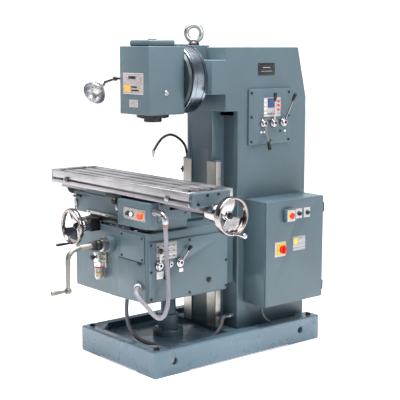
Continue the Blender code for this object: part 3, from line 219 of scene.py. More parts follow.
def sweep(points, radius_at, sides=16, squash=(1.0, 1.0), side_way=None):
    """A tube along points; radius_at gives its radius at a distance from its start."""
    bm = bmesh.new()
    rings = []
    travelled = 0.0
    along = (points[1] - points[0]).normalized()
    across = (side_way or along.orthogonal()).normalized()
    for i, point in enumerate(points):
        ahead = points[min(i + 1, len(points) - 1)]
        behind = points[max(i - 1, 0)]
        if i:
            travelled += (point - behind).length
        along = (ahead - behind).normalized()
        across = (across - across.dot(along) * along).normalized()
        other = along.cross(across)
        radius = radius_at(travelled)
        rings.append(ring_of(bm, sides,
            lambda turn: point + radius * (squash[0] * math.cos(turn) * across + squash[1] *
            math.sin(turn) * other)))
    skin(bm, rings)
    return bm


def route_length(points):
    return sum((b - a).length for a, b in zip(points, points[1:]))


def torus(centre, turn, major, minor, sides=ROUND, around=20):
    bm = bmesh.new()

    def on_surface(angle, lean):
        reach = major + minor * math.cos(lean)
        return Vector(centre) + turn @ Vector((reach * math.cos(angle), reach * math.sin(angle),
            minor * math.sin(lean)))

    angles = [2 * math.pi * k / sides for k in range(sides)]
    skin(bm, [ring_of(bm, around, lambda lean: on_surface(angle, lean)) for angle in angles], True)
    return bm


def hexagon_radius(turn, apothem):
    return apothem / math.cos((turn + math.pi / 6) % (math.pi / 3) - math.pi / 6)


def socket_screw(point, direction, radius=0.0065, height=0.004):
    """A round screw head with a hexagonal socket, standing on a face at point."""
    bm = bmesh.new()
    levels = ((0.0, radius, 0), (height * 0.8, radius, 0), (height, radius * 0.88, 0),
        (height, radius * 0.46, 1), (height * 0.35, radius * 0.46, 1))

    def on_level(turn, z, size, hexagonal):
        reach = hexagon_radius(turn, size) if hexagonal else size
        return reach * math.cos(turn), reach * math.sin(turn), z

    skin(bm, [ring_of(bm, SCREW_SIDES, lambda turn: on_level(turn, *level)) for level in levels])
    return aim(bm, point, direction)


def hexagon_nut(point, direction, apothem, height):
    corner = apothem / math.cos(math.pi / 6)
    outline = [(corner * math.cos(math.pi / 3 * k), corner * math.sin(math.pi / 3 * k)) for k in range(6)]
    return aim(prism("Z", outline, 0, height, apothem * 0.08), point, direction)


# ---------------------------------------------------------------- pieces

class Piece:
    """Shapes with a material each, gathered into one object that rides on a CAD body."""

    def __init__(self, name, body, slot):
        self.name, self.body, self.slot = name, body, slot
        self.whole = bmesh.new()
        self.materials = []

    def add(self, shape, material):
        if material not in self.materials:
            self.materials.append(material)
        index = self.materials.index(material)
        bmesh.ops.recalc_face_normals(shape, faces=shape.faces[:])
        for face in shape.faces:
            face.material_index = index
        mesh = bpy.data.meshes.new("shape")
        shape.to_mesh(mesh)
        shape.free()
        self.whole.from_mesh(mesh)
        bpy.data.meshes.remove(mesh)
        return self

    def mesh_object(self):
        mesh = bpy.data.meshes.new(self.name)
        self.whole.to_mesh(mesh)
        self.whole.free()
        for material in self.materials:
            mesh.materials.append(material)
        mesh.shade_smooth()
        mesh.set_sharp_from_angle(angle=math.radians(35))
        obj = bpy.data.objects.new(self.name, mesh)
        bpy.context.scene.collection.objects.link(obj)
        return obj

    def done(self, *replaced):
        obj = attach(self.mesh_object(), self.body)
        if replaced:
            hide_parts(*replaced)
        return obj


def turned_piece(name, body, slot, node, axis, centre, profile, material, sides=ROUND):
    """A piece that is one turned shape and stands for one CAD node."""
    Piece(name, body, slot).add(turned(axis, centre, profile, sides), material).done(node)


def keep(node, material, bevel=0.0, segments=2):
    """Keep a CAD node's shape, give it a material and round its edges."""
    obj = frame["nodes"][node]
    obj.data.materials.clear()
    obj.data.materials.append(material)
    obj.data.shade_smooth()
    obj.data.set_sharp_from_angle(angle=math.radians(28))
    weld = obj.modifiers.new("Weld", "WELD")
    weld.merge_threshold = 0.00002
    if bevel:
        edge = obj.modifiers.new("Bevel", "BEVEL")
        edge.width = bevel
        edge.segments = segments
        edge.limit_method = "ANGLE"
        edge.angle_limit = math.radians(28)
        edge.harden_normals = True
    return obj


# ---------------------------------------------------------------- materials

EVEN = (1.0, 1.0, 1.0)            # a texture that isn't stretched
PURE_WHITE = (1.0, 1.0, 1.0)
DIM_SKY, GREY_SKY = (0.07, 0.08, 0.1), (0.26, 0.28, 0.31)


def shader_of(name, colour, roughness, metallic=0.0):
    made = bpy.data.materials.new(name)
    made.use_nodes = True
    shader = made.node_tree.nodes["Principled BSDF"]
    shader.inputs["Base Color"].default_value = (*colour, 1.0)
    shader.inputs["Roughness"].default_value = roughness
    shader.inputs["Metallic"].default_value = metallic
    return made, made.node_tree, shader


def noise(tree, scale, detail=3.0, stretch=EVEN):
    """A noise texture's value over the piece's own coordinates, in metres."""
    coords = tree.nodes.new("ShaderNodeTexCoord")
    mapping = tree.nodes.new("ShaderNodeMapping")
    mapping.inputs["Scale"].default_value = stretch
    texture = tree.nodes.new("ShaderNodeTexNoise")
    texture.inputs["Scale"].default_value = scale
    texture.inputs["Detail"].default_value = detail
    tree.links.new(coords.outputs["Object"], mapping.inputs["Vector"])
    tree.links.new(mapping.outputs["Vector"], texture.inputs["Vector"])
    return texture.outputs[0]


def ramp(tree, value, stops):
    """Colours at positions along a value."""
    node = tree.nodes.new("ShaderNodeValToRGB")
    elements = node.color_ramp.elements
    while len(elements) < len(stops):
        elements.new(0.5)
    for element, (position, colour) in zip(elements, stops):
        element.position = position
        element.color = (*colour, 1.0)
    tree.links.new(value, node.inputs["Fac"])
    return node.outputs["Color"]


def spread(tree, value, low, high, start=0.3, end=0.7):
    node = tree.nodes.new("ShaderNodeMapRange")
    node.inputs["From Min"].default_value = start
    node.inputs["From Max"].default_value = end
    node.inputs["To Min"].default_value = low
    node.inputs["To Max"].default_value = high
    tree.links.new(value, node.inputs["Value"])
    return node.outputs["Result"]


def mixed(tree, share, one, two):
    """Colour one where share is 0 and colour two where it is 1."""
    node = tree.nodes.new("ShaderNodeMix")
    node.data_type = "RGBA"
    tree.links.new(share, node.inputs["Factor"])
    for socket, colour in ((node.inputs[6], one), (node.inputs[7], two)):
        if isinstance(colour, bpy.types.NodeSocket):
            tree.links.new(colour, socket)
        else:
            socket.default_value = (*colour, 1.0)
    return node.outputs[2]


def bumped(tree, shader, heights):
    """Bump a surface by several (height value, depth in metres, strength) in turn."""
    normal = None
    for value, depth, strength in heights:
        node = tree.nodes.new("ShaderNodeBump")
        node.inputs["Distance"].default_value = depth
        node.inputs["Strength"].default_value = strength
        tree.links.new(value, node.inputs["Height"])
        if normal:
            tree.links.new(normal, node.inputs["Normal"])
        normal = node.outputs["Normal"]
    tree.links.new(normal, shader.inputs["Normal"])


def edge_share(tree, radius):
    """1 near a piece's outer edges and 0 on its flats."""
    bevel = tree.nodes.new("ShaderNodeBevel")
    bevel.samples = 4
    bevel.inputs["Radius"].default_value = radius
    geometry = tree.nodes.new("ShaderNodeNewGeometry")
    dot = tree.nodes.new("ShaderNodeVectorMath")
    dot.operation = "DOT_PRODUCT"
    tree.links.new(bevel.outputs["Normal"], dot.inputs[0])
    tree.links.new(geometry.outputs["Normal"], dot.inputs[1])
    return spread(tree, dot.outputs["Value"], 1.0, 0.0, 0.86, 0.995)


def tinted(colour, factor):
    return tuple(min(1.0, c * factor) for c in colour)


def paint(name, colour, roughness=0.42, edge_wear_and_highlight_strength=0.35):
    """Machine enamel over filled cast iron: uneven, softly dimpled, and lighter along its edges, partly
    as paint rubbed thin and partly as a painted highlight where the rounded edges catch the light.
    """
    made, tree, shader = shader_of(name, colour, roughness)
    patches = noise(tree, 3.2, 4.0)
    base = ramp(tree, patches, [(0.3, tinted(colour, 0.92)), (0.5, colour), (0.72, tinted(colour, 1.07))])
    # Edge colour: paint rubbed thin, together with a painted highlight along the rounded edges.
    wear_and_highlight_colour = tinted(tuple(c * 0.55 + 0.16 for c in colour), 1.15)
    wear_and_highlight_breakup = spread(tree, noise(tree, 34.0, 5.0), 0.15, 1.0)
    edge_wear_and_highlight = tree.nodes.new("ShaderNodeMath")
    edge_wear_and_highlight.operation = "MULTIPLY"
    tree.links.new(edge_share(tree, 0.004), edge_wear_and_highlight.inputs[0])
    tree.links.new(wear_and_highlight_breakup, edge_wear_and_highlight.inputs[1])
    edge_wear_and_highlight_share = tree.nodes.new("ShaderNodeMath")
    edge_wear_and_highlight_share.operation = "MULTIPLY"
    edge_wear_and_highlight_share.inputs[1].default_value = edge_wear_and_highlight_strength
    tree.links.new(edge_wear_and_highlight.outputs[0], edge_wear_and_highlight_share.inputs[0])
    tree.links.new(mixed(tree, edge_wear_and_highlight_share.outputs[0], base, wear_and_highlight_colour), shader.inputs["Base Color"])
    tree.links.new(spread(tree, noise(tree, 11.0, 5.0), roughness - 0.07, roughness + 0.09),
        shader.inputs["Roughness"])
    bumped(tree, shader, [(noise(tree, 7.0, 2.0), 0.004, 0.12), (noise(tree, 260.0, 2.0), 0.0004, 0.16)])
    shader.inputs["Coat Weight"].default_value = 0.18
    shader.inputs["Coat Roughness"].default_value = 0.22
    return made


def metal(name, colour, roughness, stretch=EVEN, marks=220.0, depth=0.0002, contrast=0.12):
    """Bare metal with tool marks or brushing drawn out along its stretched axes."""
    made, tree, shader = shader_of(name, colour, roughness, 1.0)
    lines = noise(tree, marks, 3.0, stretch)
    stains = noise(tree, 9.0, 4.0)
    base = ramp(tree, stains, [(0.32, tinted(colour, 1.0 - contrast)), (0.55, colour),
        (0.75, tinted(colour, 1.0 + contrast))])
    streak = ramp(tree, lines, [(0.35, (0.86, 0.86, 0.86)), (0.65, PURE_WHITE)])
    times = tree.nodes.new("ShaderNodeMix")
    times.data_type = "RGBA"
    times.blend_type = "MULTIPLY"
    times.inputs["Factor"].default_value = 1.0
    tree.links.new(base, times.inputs[6])
    tree.links.new(streak, times.inputs[7])
    tree.links.new(times.outputs[2], shader.inputs["Base Color"])
    tree.links.new(spread(tree, stains, roughness * 0.8, roughness * 1.3), shader.inputs["Roughness"])
    bumped(tree, shader, [(lines, depth, 0.25)])
    return made


def moulded(name, colour, roughness, grain=420.0, depth=0.00015, sheen=0.0):
    """Moulded plastic or rubber with a fine grain and handling marks."""
    made, tree, shader = shader_of(name, colour, roughness)
    blotches = noise(tree, 40.0, 4.0)
    tree.links.new(ramp(tree, blotches, [(0.3, tinted(colour, 0.88)), (0.7, tinted(colour, 1.1))]),
        shader.inputs["Base Color"])
    tree.links.new(spread(tree, blotches, roughness - 0.06, roughness + 0.08), shader.inputs["Roughness"])
    bumped(tree, shader, [(noise(tree, grain, 2.0), depth, 0.3)])
    shader.inputs["Sheen Weight"].default_value = sheen
    return made


def clear_plastic(name):
    made, tree, shader = shader_of(name, (0.86, 0.9, 0.88), 0.08)
    shader.inputs["Transmission Weight"].default_value = 0.9
    shader.inputs["IOR"].default_value = 1.45
    tree.links.new(spread(tree, noise(tree, 60.0, 3.0), 0.05, 0.16), shader.inputs["Roughness"])
    return made


def printed(name, colour, ink, scale, share=0.55):
    """A plate with rows of short plain marks, as small print looks from a distance."""
    made, tree, shader = shader_of(name, colour, 0.32, 0.25)
    coords = tree.nodes.new("ShaderNodeTexCoord")
    bricks = tree.nodes.new("ShaderNodeTexBrick")
    bricks.inputs["Scale"].default_value = scale
    bricks.inputs["Mortar Size"].default_value = 0.028 * share / 0.55
    bricks.inputs["Color1"].default_value = (*ink, 1.0)
    bricks.inputs["Color2"].default_value = (*tinted(colour, 0.9), 1.0)
    bricks.inputs["Mortar"].default_value = (*colour, 1.0)
    turn = tree.nodes.new("ShaderNodeMapping")
    turn.inputs["Rotation"].default_value = (math.radians(90), 0, 0)
    tree.links.new(coords.outputs["Object"], turn.inputs["Vector"])
    tree.links.new(turn.outputs["Vector"], bricks.inputs["Vector"])
    tree.links.new(bricks.outputs["Color"], shader.inputs["Base Color"])
    tree.links.new(spread(tree, noise(tree, 50.0), 0.26, 0.4), shader.inputs["Roughness"])
    return made


GREEN_GREY = (0.085, 0.125, 0.147)
PAINT = paint("machine_paint", GREEN_GREY)
PAINT_SMOOTH = paint("sheet_metal_paint", tinted(GREEN_GREY, 1.04), 0.36, 0.25)
# A darker copy of the machine paint: painted shade for the flange tucked between the head and its swivel
# ring.
SHADED_FLANGE_PAINT = paint("painted_shade_flange_paint", (0.022, 0.036, 0.042), 0.45, 0.2)
PAINT_SHADE = paint("tray_paint", (0.122, 0.182, 0.228), 0.3, 0.25)
TABLE_METAL = metal("ground_table", (0.5, 0.485, 0.505), 0.36, (0.03, 1.0, 1.0), 260.0, 0.0002, 0.16)
RING_STEEL = metal("ring_steel", (0.31, 0.35, 0.395), 0.24, EVEN, 110.0, 0.0002)
GROUND_STEEL = metal("ground_steel", (0.5, 0.49, 0.48), 0.3, (1.0, 1.0, 0.02), 300.0)
WAY_STEEL = metal("scraped_ways", (0.56, 0.53, 0.5), 0.34, (1.0, 1.0, 0.05), 240.0)
TURNED_STEEL = metal("turned_steel", (0.4, 0.4, 0.41), 0.24, EVEN, 320.0)
DARK_STEEL = metal("oiled_steel", (0.085, 0.08, 0.085), 0.34, EVEN, 180.0)
CHROME = metal("chrome_plate", (0.52, 0.5, 0.52), 0.12, EVEN, 60.0, 0.00005, 0.06)
# Chrome tinted brown: a painted reflection of warm surroundings, used on handwheel rims and conduit
# collars.
BROWN_REFLECTION_CHROME = metal("chrome_with_painted_reflection", (0.4, 0.36, 0.34), 0.12, EVEN, 60.0, 0.00005, 0.1)
CAST_GREY = metal("fettled_casting", (0.3, 0.285, 0.26), 0.46, EVEN, 80.0, 0.0005)
POLISHED = metal("polished_iron", (0.48, 0.46, 0.44), 0.22, EVEN, 110.0, 0.0002)
ALUMINIUM = metal("satin_aluminium", (0.66, 0.67, 0.69), 0.3, EVEN, 140.0)
ZINC = metal("zinc_casting", (0.52, 0.53, 0.54), 0.33, EVEN, 90.0, 0.0006)
BRASS = metal("brass_fitting", (0.58, 0.45, 0.24), 0.3)
BLACK = moulded("black_plastic", (0.014, 0.014, 0.016), 0.34)
BLACK_OXIDE = moulded("black_oxide", (0.012, 0.013, 0.015), 0.42, 300.0)
RED = moulded("red_plastic", (0.55, 0.02, 0.018), 0.28)
ORANGE_RED = moulded("orange_red_plastic", (0.72, 0.085, 0.03), 0.3)
YELLOW = moulded("yellow_plastic", (0.78, 0.5, 0.03), 0.32)
WHITE = moulded("white_plastic", (0.74, 0.73, 0.7), 0.34)
LIGHT_GREY = moulded("light_grey_plastic", (0.42, 0.42, 0.42), 0.38)
HOSE_GREY = moulded("hose_plastic", (0.25, 0.245, 0.275), 0.42, 160.0, 0.0003)
HOSE_DARK = moulded("hose_rubber", (0.115, 0.115, 0.13), 0.45, 160.0, 0.0003)
RUBBER = moulded("black_rubber", (0.02, 0.02, 0.022), 0.55, 240.0, 0.0002, 0.1)
CLEAR = clear_plastic("clear_cup")
SILVER_PRINT = printed("silver_print", (0.52, 0.5, 0.49), (0.13, 0.13, 0.15), 90.0)
BLUE_SCREEN = moulded("blue_screen", (0.055, 0.085, 0.19), 0.16, 500.0, 0.00005)
PINK_SILVER = printed("head_label_print", (0.5, 0.45, 0.44), (0.22, 0.16, 0.17), 60.0)
AMBER = moulded("amber_mark", (0.75, 0.38, 0.06), 0.35)
BLACK_PRINT = printed("black_label_print", (0.01, 0.011, 0.014), (0.055, 0.055, 0.06), 110.0)


# ---------------------------------------------------------------- camera, floor and light

def make_camera():
    lens = bpy.data.cameras.new("camera")
    lens.lens = 90.7
    lens.sensor_width = 36.0
    lens.clip_end = 60.0
    camera = bpy.data.objects.new("camera", lens)
    camera.location = (4.606, -3.803, 1.79)
    camera.rotation_euler = (math.radians(81.42), 0.0, math.radians(50.6))
    bpy.context.scene.collection.objects.link(camera)
    bpy.context.scene.camera = camera


def area_light(name, location, target, size, power, colour=PURE_WHITE):
    light = bpy.data.lights.new(name, "AREA")
    light.shape = "RECTANGLE"
    light.size, light.size_y = size
    light.energy = power
    light.color = colour
    obj = bpy.data.objects.new(name, light)
    obj.location = location
    obj.rotation_euler = (Vector(target) - Vector(location)).to_track_quat("-Z", "Y").to_euler()
    bpy.context.scene.collection.objects.link(obj)


def make_world():
    """A studio: a white backdrop behind the machine, bright overhead and dimmer in front."""
    world = bpy.data.worlds.new("studio")
    bpy.context.scene.world = world
    world.use_nodes = True
    tree = world.node_tree
    coords = tree.nodes.new("ShaderNodeTexCoord")
    parts = tree.nodes.new("ShaderNodeSeparateXYZ")
    tree.links.new(coords.outputs["Generated"], parts.inputs[0])
    levels = ramp(tree, parts.outputs["Z"], [(0.0, PURE_WHITE), (0.16, PURE_WHITE), (0.3, GREY_SKY),
        (0.66, GREY_SKY), (0.84, PURE_WHITE)])
    dark = ramp(tree, parts.outputs["Z"], [(0.0, PURE_WHITE), (0.03, DIM_SKY), (0.66, DIM_SKY),
        (0.84, PURE_WHITE)])
    side = tree.nodes.new("ShaderNodeVectorMath")
    side.operation = "DOT_PRODUCT"
    side.inputs[1].default_value = (-0.45, 0.89, 0.0)
    tree.links.new(coords.outputs["Generated"], side.inputs[0])
    behind = spread(tree, side.outputs["Value"], 0.0, 1.0, -0.25, 0.05)
    background = tree.nodes["Background"]
    background.inputs["Strength"].default_value = 1.08
    tree.links.new(mixed(tree, behind, dark, levels), background.inputs["Color"])


def make_stage():
    floor = bpy.data.objects.new("floor", bpy.data.meshes.new("floor"))
    bm = bmesh.new()
    bmesh.ops.create_circle(bm, cap_ends=True, segments=96, radius=24.0)
    bm.to_mesh(floor.data)
    bm.free()
    made, tree, shader = shader_of("studio_floor", (0.93, 0.93, 0.93), 0.85)
    tree.links.new(ramp(tree, noise(tree, 1.5), [(0.3, (0.92, 0.92, 0.92)), (0.7, (0.94, 0.94, 0.94))]),
        shader.inputs["Base Color"])
    shader.inputs["Emission Color"].default_value = (1.0, 1.0, 1.0, 1.0)
    shader.inputs["Emission Strength"].default_value = 0.3
    floor.data.materials.append(made)
    bpy.context.scene.collection.objects.link(floor)
    target = (0.0, -0.1, 0.9)
    area_light("key", (4.4, -0.6, 3.6), target, (3.0, 2.2), 104.0)
    area_light("top", (0.2, -0.4, 5.0), target, (3.0, 3.0), 345.0)
    area_light("front", (-0.6, -3.4, 4.8), (0.0, -0.4, 1.5), (2.4, 2.0), 58.0)
    bpy.context.scene.view_settings.view_transform = "Standard"
    bpy.context.scene.view_settings.look = "Medium High Contrast"


# ---------------------------------------------------------------- base, column and cabinet

def socket_screws(name, body, points, direction, radius=0.0065, height=0.004, slot="dark_steel"):
    piece = Piece(name, body, slot)
    for point in points:
        piece.add(socket_screw(point, direction, radius, height), BLACK_OXIDE)
    return piece.done()


def screw_circle(piece, centre, reach, z, up, first, height):
    """Six socket screws round a flange, facing up or down, the first one at an angle."""
    for k in range(6):
        turn = math.radians(first + 60 * k)
        point = (centre[0] + reach * math.cos(turn), centre[1] + reach * math.sin(turn), z)
        piece.add(socket_screw(point, (0, 0, up), 0.0065, height), BLACK_OXIDE)


def make_frame_looks():
    keep("base", PAINT_SHADE, 0.003, 3)
    keep("column", PAINT, 0.003, 3)
    keep("rear_cover", PAINT_SMOOTH, 0.0008)
    keep("gearbox_plate", PAINT_SMOOTH, 0.001)
    for node in ("main_motor", "feed_motor"):
        keep(node, PAINT, 0.001)
    for node in ("motor_pulley", "drive_shaft"):
        keep(node, TURNED_STEEL, 0.0008)
    keep("drive_belt", RUBBER)
    back = COLUMN_HIGH.y + 0.0084
    points = [(x, back, z) for x in (-0.2, 0.2) for z in (0.2, 0.61, 1.03, 1.44)]
    socket_screws("rear_cover_screws", "frame", points, (0, 1, 0))
    face = PLATE_HIGH.x
    rows = (PLATE_LOW.z + 0.019, (PLATE_LOW.z + PLATE_HIGH.z) / 2, PLATE_HIGH.z - 0.024)
    points = [(face, y, z) for y in (PLATE_LOW.y + 0.019, PLATE_HIGH.y - 0.019) for z in rows]
    socket_screws("gearbox_plate_screws", "frame", points, (1, 0, 0), 0.0075, 0.004)
    points = [(0.318 * sx, 0.59 * sy, BASE_TOP) for sx in (-1, 1) for sy in (-1, 1)]
    bolts = Piece("foundation_bolts", "frame", "dark_steel")
    for x, y, z in points:
        bolts.add(disc("Z", (x, y), 0.0185, z + SKIN, z + 0.003), DARK_STEEL)
        bolts.add(hexagon_nut((x, y, z + 0.003), (0, 0, 1), 0.012, 0.009), DARK_STEEL)
    bolts.done()


def make_way_faces():
    """Bright scraped faces on the column's guide, where the knee slides."""
    ways = Piece("column_way_faces", "frame", "steel")
    front = -0.0265
    for side in (-1, 1):
        x = sorted((side * 0.0735, side * 0.146))
        ways.add(box((x[0], front - SKIN, 0.14), (x[1], front + 0.002, 1.132), 0.0002, 1), WAY_STEEL)
        x = sorted((side * 0.147, side * (0.15 + SKIN)))
        ways.add(box((x[0], front + 0.004, 0.14), (x[1], 0.014, 1.132), 0.0002, 1), WAY_STEEL)
    ways.done()


def make_speed_panel():
    """Printed plate with a display and keys, name plate and marks on the column's side."""
    face = PLATE_HIGH.x + SKIN
    panel = Piece("speed_panel", "frame", "label")
    panel.add(box((face - 0.001, 0.262, 1.388), (face + 0.0012, 0.398, 1.5), 0.0008), SILVER_PRINT)
    front = face + 0.0012
    panel.add(box((front - 0.001, 0.292, 1.44), (front + 0.0012, 0.362, 1.496), 0.0008), BLUE_SCREEN)
    panel.add(box((front - 0.001, 0.296, 1.416), (front + 0.001, 0.358, 1.432), 0.0005), LIGHT_GREY)
    for z in (1.42, 1.445, 1.47):
        panel.add(box((front - 0.001, 0.371, z), (front + 0.0014, 0.389, z + 0.014), 0.001), RED)
    for y in (0.302, 0.322, 0.342):
        panel.add(disc("X", (y, 1.404), 0.0045, front - 0.001, front + 0.0016, 0.0005), BLACK)
    for z in (1.406, 1.43, 1.454, 1.478):
        panel.add(box((front - 0.001, 0.266, z), (front + 0.0008, 0.282, z + 0.01), 0.0004), WHITE)
    panel.done()
    marks = Piece("speed_marks", "frame", "label")
    for y in (0.238, 0.262, 0.43):
        marks.add(box((face - 0.001, y, 1.292), (face + 0.0008, y + 0.013, 1.304), 0.0005), WHITE)
    marks.add(disc("X", (0.398, 1.3), 0.0075, face - 0.001, face + 0.004), BLACK)
    marks.add(disc("X", (0.318, 1.246), 0.007, face - 0.001, face + 0.002), DARK_STEEL)
    marks.done()
    side = COLUMN_HIGH.x + SKIN
    plate = Piece("name_plate", "frame", "label")
    plate.add(box((side - 0.001, 0.224, 1.631), (side + 0.0012, 0.36, 1.702), 0.0008), BLACK_PRINT)
    plate.add(box((side, 0.262, 1.674), (side + 0.0018, 0.322, 1.6775), 0.0004), LIGHT_GREY)
    plate.add(box((side, 0.25, 1.654), (side + 0.0018, 0.334, 1.6565), 0.0004), LIGHT_GREY)
    for y, z in ((0.23, 1.637), (0.354, 1.637), (0.23, 1.696), (0.354, 1.696)):
        plate.add(disc("X", (y, z), 0.0025, side, side + 0.002, 0.0005, 12), TURNED_STEEL)
    plate.done()


def make_lever(name, body, node, hub, hub_radius, hub_depth, angle, length, grip, tilt):
    """A turned hub, a slim bright rod and a tapered black grip on a +X face."""
    x, y, z = hub
    start = x + 0.0003
    deep = start + hub_depth
    stations = [(start, 0.98), (start + 0.002, 1), (start + hub_depth * 0.5, 1),
        (start + hub_depth * 0.56, 0.94), (start + hub_depth * 0.6, 0.74), (deep - 0.003, 0.7),
        (deep, 0.55)]
    cap = [(deep - 0.001, 0.34), (deep + 0.0015, 0.3), (deep + 0.002, 0.1)]
    lever = Piece(name, body, "chrome")
    for shape, sides, material in ((stations, ROUND, CHROME), (cap, 24, BLACK_OXIDE)):
        lever.add(turned("X", (y, z), [(along, hub_radius * share) for along, share in shape], sides),
            material)
    away = Vector((tilt, math.sin(angle) * length, math.cos(angle) * length))
    root = Vector((start + hub_depth * 0.55, y, z))
    tip = root + away
    share = 1 - grip / length
    lever.add(rod(root, root + away * (share + 0.05), [(0, 0.0056), (0.5, 0.0048), (1, 0.0045)], 20),
        CHROME)
    lever.add(rod(root + away * share, tip, [(0, 0.0062), (0.03, 0.0075), (0.2, 0.0085), (0.55, 0.0105),
        (0.85, 0.0115), (0.95, 0.01), (1, 0.006)], 24), BLACK)
    lever.done(node)


def make_levers():
    for name, angle, length in (("low", 173.5, 0.158), ("high", -7.6, 0.18), ("range", 20.5, 0.182)):
        point = joint_point("speed_" + name)
        make_lever("speed_lever_" + name + "_look", "lever_" + name, "speed_lever_" + name, point, 0.026,
            0.03, math.radians(angle), length, 0.05, 0.03)
    for name, angle, length, radius in (("left", 2.0, 0.095, 0.026), ("middle", 211.0, 0.09, 0.02),
            ("right", 39.0, 0.11, 0.026)):
        point = joint_point("feed_" + name)
        make_lever("feed_lever_" + name + "_look", "feed_" + name, "feed_lever_" + name, point, radius,
            0.022, math.radians(angle), length, 0.03, 0.008)


def make_eye_bolt():
    y = -0.0655
    turn = Matrix.Rotation(math.radians(45), 3, "Z") @ Matrix.Rotation(math.radians(90), 3, "X")
    bolt = Piece("eye_bolt_look", "frame", "dark_steel")
    bolt.add(torus((0, y, 1.8745), turn, 0.0445, 0.0145), ZINC)
    bolt.add(turned("Z", (0, y), [(1.8063, 0.03), (1.8085, 0.032), (1.816, 0.032), (1.8185, 0.029),
        (1.823, 0.024), (1.83, 0.019), (1.838, 0.017)]), DARK_STEEL)
    bolt.done("eye_bolt")


def make_cabinet():
    keep("cabinet", PAINT_SMOOTH, 0.0012)
    keep("cabinet_door", PAINT_SMOOTH, 0.0015, 3)
    face = DOOR_HIGH.x
    trim = Piece("door_plates", "door", "panel_grey")
    for y in (0.383, 0.45):
        trim.add(box((face + 0.0002, y - 0.026, 0.793), (face + 0.0022, y + 0.026, 0.852), 0.001),
            LIGHT_GREY)
        trim.add(turned("X", (y, 0.822), [(face + 0.002, 0.0165), (face + 0.0045, 0.0165),
            (face + 0.0055, 0.0155)]), CHROME)
    middle = (0.241, 0.625)
    trim.add(box((face + 0.0002, middle[0] - 0.05, middle[1] - 0.044), (face + 0.0016, middle[0] + 0.036,
        middle[1] + 0.044), 0.0007), LIGHT_GREY)
    trim.add(box((face + 0.0002, 0.338, 0.6), (face + 0.0012, 0.44, 0.688), 0.0006), SILVER_PRINT)
    trim.add(box((face + 0.001, 0.346, 0.64), (face + 0.0018, 0.372, 0.676), 0.0004), YELLOW)
    trim.done()
    low, high = STOP_BOX_LOW, STOP_BOX_HIGH
    stop = Piece("stop_box_look", "door", "panel_grey")
    stop.add(box(low, high, 0.005, 4), PAINT_SMOOTH)
    stop.add(box((high.x - 0.001, low.y + 0.006, low.z + 0.006), (high.x + SKIN, high.y - 0.006,
        high.z - 0.006), 0.0004), LIGHT_GREY)
    stop.add(turned("X", (0.293, 0.821), [(high.x, 0.022), (high.x + 0.003, 0.022),
        (high.x + 0.004, 0.02)]), YELLOW)
    stop.done("estop_box")
    mushroom("door_stop_look", "door_stop", "door_estop", "X", (0.293, 0.821), high.x, 1, 0.0185)
    base = face + 0.005
    profile = [(face + 0.0008, 0.0088), (base, 0.009), (base, 0.0122), (base + 0.008, 0.0128),
        (base + 0.0105, 0.0115), (base + 0.011, 0.009)]
    for name, y in (("left", 0.383), ("right", 0.45)):
        turned_piece("door_%s_button_look" % name, "door_%s_button" % name, "black_plastic",
            "door_button_" + name, "X", (y, 0.822), profile, BLACK)
    plate = Piece("isolator_plate_look", "door", "yellow_plastic")
    plate.add(box(ISOLATOR_LOW, ISOLATOR_HIGH, 0.004, 4), YELLOW)
    for dy, dz in ((-0.025, -0.025), (-0.025, 0.025), (0.025, -0.025), (0.025, 0.025)):
        plate.add(socket_screw((ISOLATOR_HIGH.x, middle[0] + dy, middle[1] + dz), (1, 0, 0), 0.0028,
            0.0012), DARK_STEEL)
    plate.done("isolator_plate")
    knob = Piece("isolator_knob_look", "isolator", "red_plastic")
    base = ISOLATOR_HIGH.x + 0.0003
    knob.add(turned("X", middle, stepped(base, 1, [(0, 0.024), (0.002, 0.025), (0.009, 0.025),
        (0.0125, 0.0225), (0.013, 0.02)])), RED)
    knob.add(box((base + 0.01, middle[0] - 0.0065, middle[1] - 0.0215), (base + 0.0295,
        middle[0] + 0.0065, middle[1] + 0.0215), 0.003, 3), RED)
    knob.done("isolator_knob")
    hinges = Piece("door_hinges", "frame", "dark_steel")
    for z in (0.36, 0.84):
        hinges.add(turned("Z", (DOOR_HIGH.x - 0.004, DOOR_HIGH.y + 0.0045),
            [(z - 0.03, 0.003), (z - 0.029, 0.0038), (z + 0.029, 0.0038), (z + 0.03, 0.003)], 20),
            DARK_STEEL)
    hinges.done()
    make_switchgear()


def make_switchgear():
    """Mounting plate, contactors and terminal rail that show when the door swings open."""
    gear = Piece("switchgear", "frame", "panel_grey")
    gear.add(box((0.246, 0.15, 0.33), (0.25, 0.566, 0.88), 0.0008), LIGHT_GREY)
    for row, z in enumerate((0.72, 0.56)):
        gear.add(box((0.25, 0.18, z + 0.02), (0.257, 0.54, z + 0.055), 0.0008), TURNED_STEEL)
        for k in range(4 - row):
            y = 0.2 + k * 0.085
            gear.add(box((0.257, y, z), (0.315, y + 0.06, z + 0.08), 0.003), BLACK if row else WHITE)
            gear.add(box((0.315, y + 0.008, z + 0.018), (0.33, y + 0.052, z + 0.062), 0.002), LIGHT_GREY)
    for k in range(14):
        y = 0.19 + k * 0.024
        gear.add(box((0.25, y, 0.4), (0.29, y + 0.02, 0.45), 0.0015), LIGHT_GREY)
    gear.done()


def mushroom(name, body, node, axis, centre, start, outward, radius):
    """A red mushroom-headed stop button on a face at start, facing outward."""
    shape = [(-0.004, 0.0078), (0.005, 0.0085), (0.0055, radius * 0.85), (0.008, radius),
        (0.0115, radius), (0.0145, radius * 0.88), (0.0163, radius * 0.6), (0.0168, 0.002)]
    turned_piece(name, body, "red_plastic", node, axis, centre, stepped(start, outward, shape), RED)


# ---------------------------------------------------------------- head and lamp

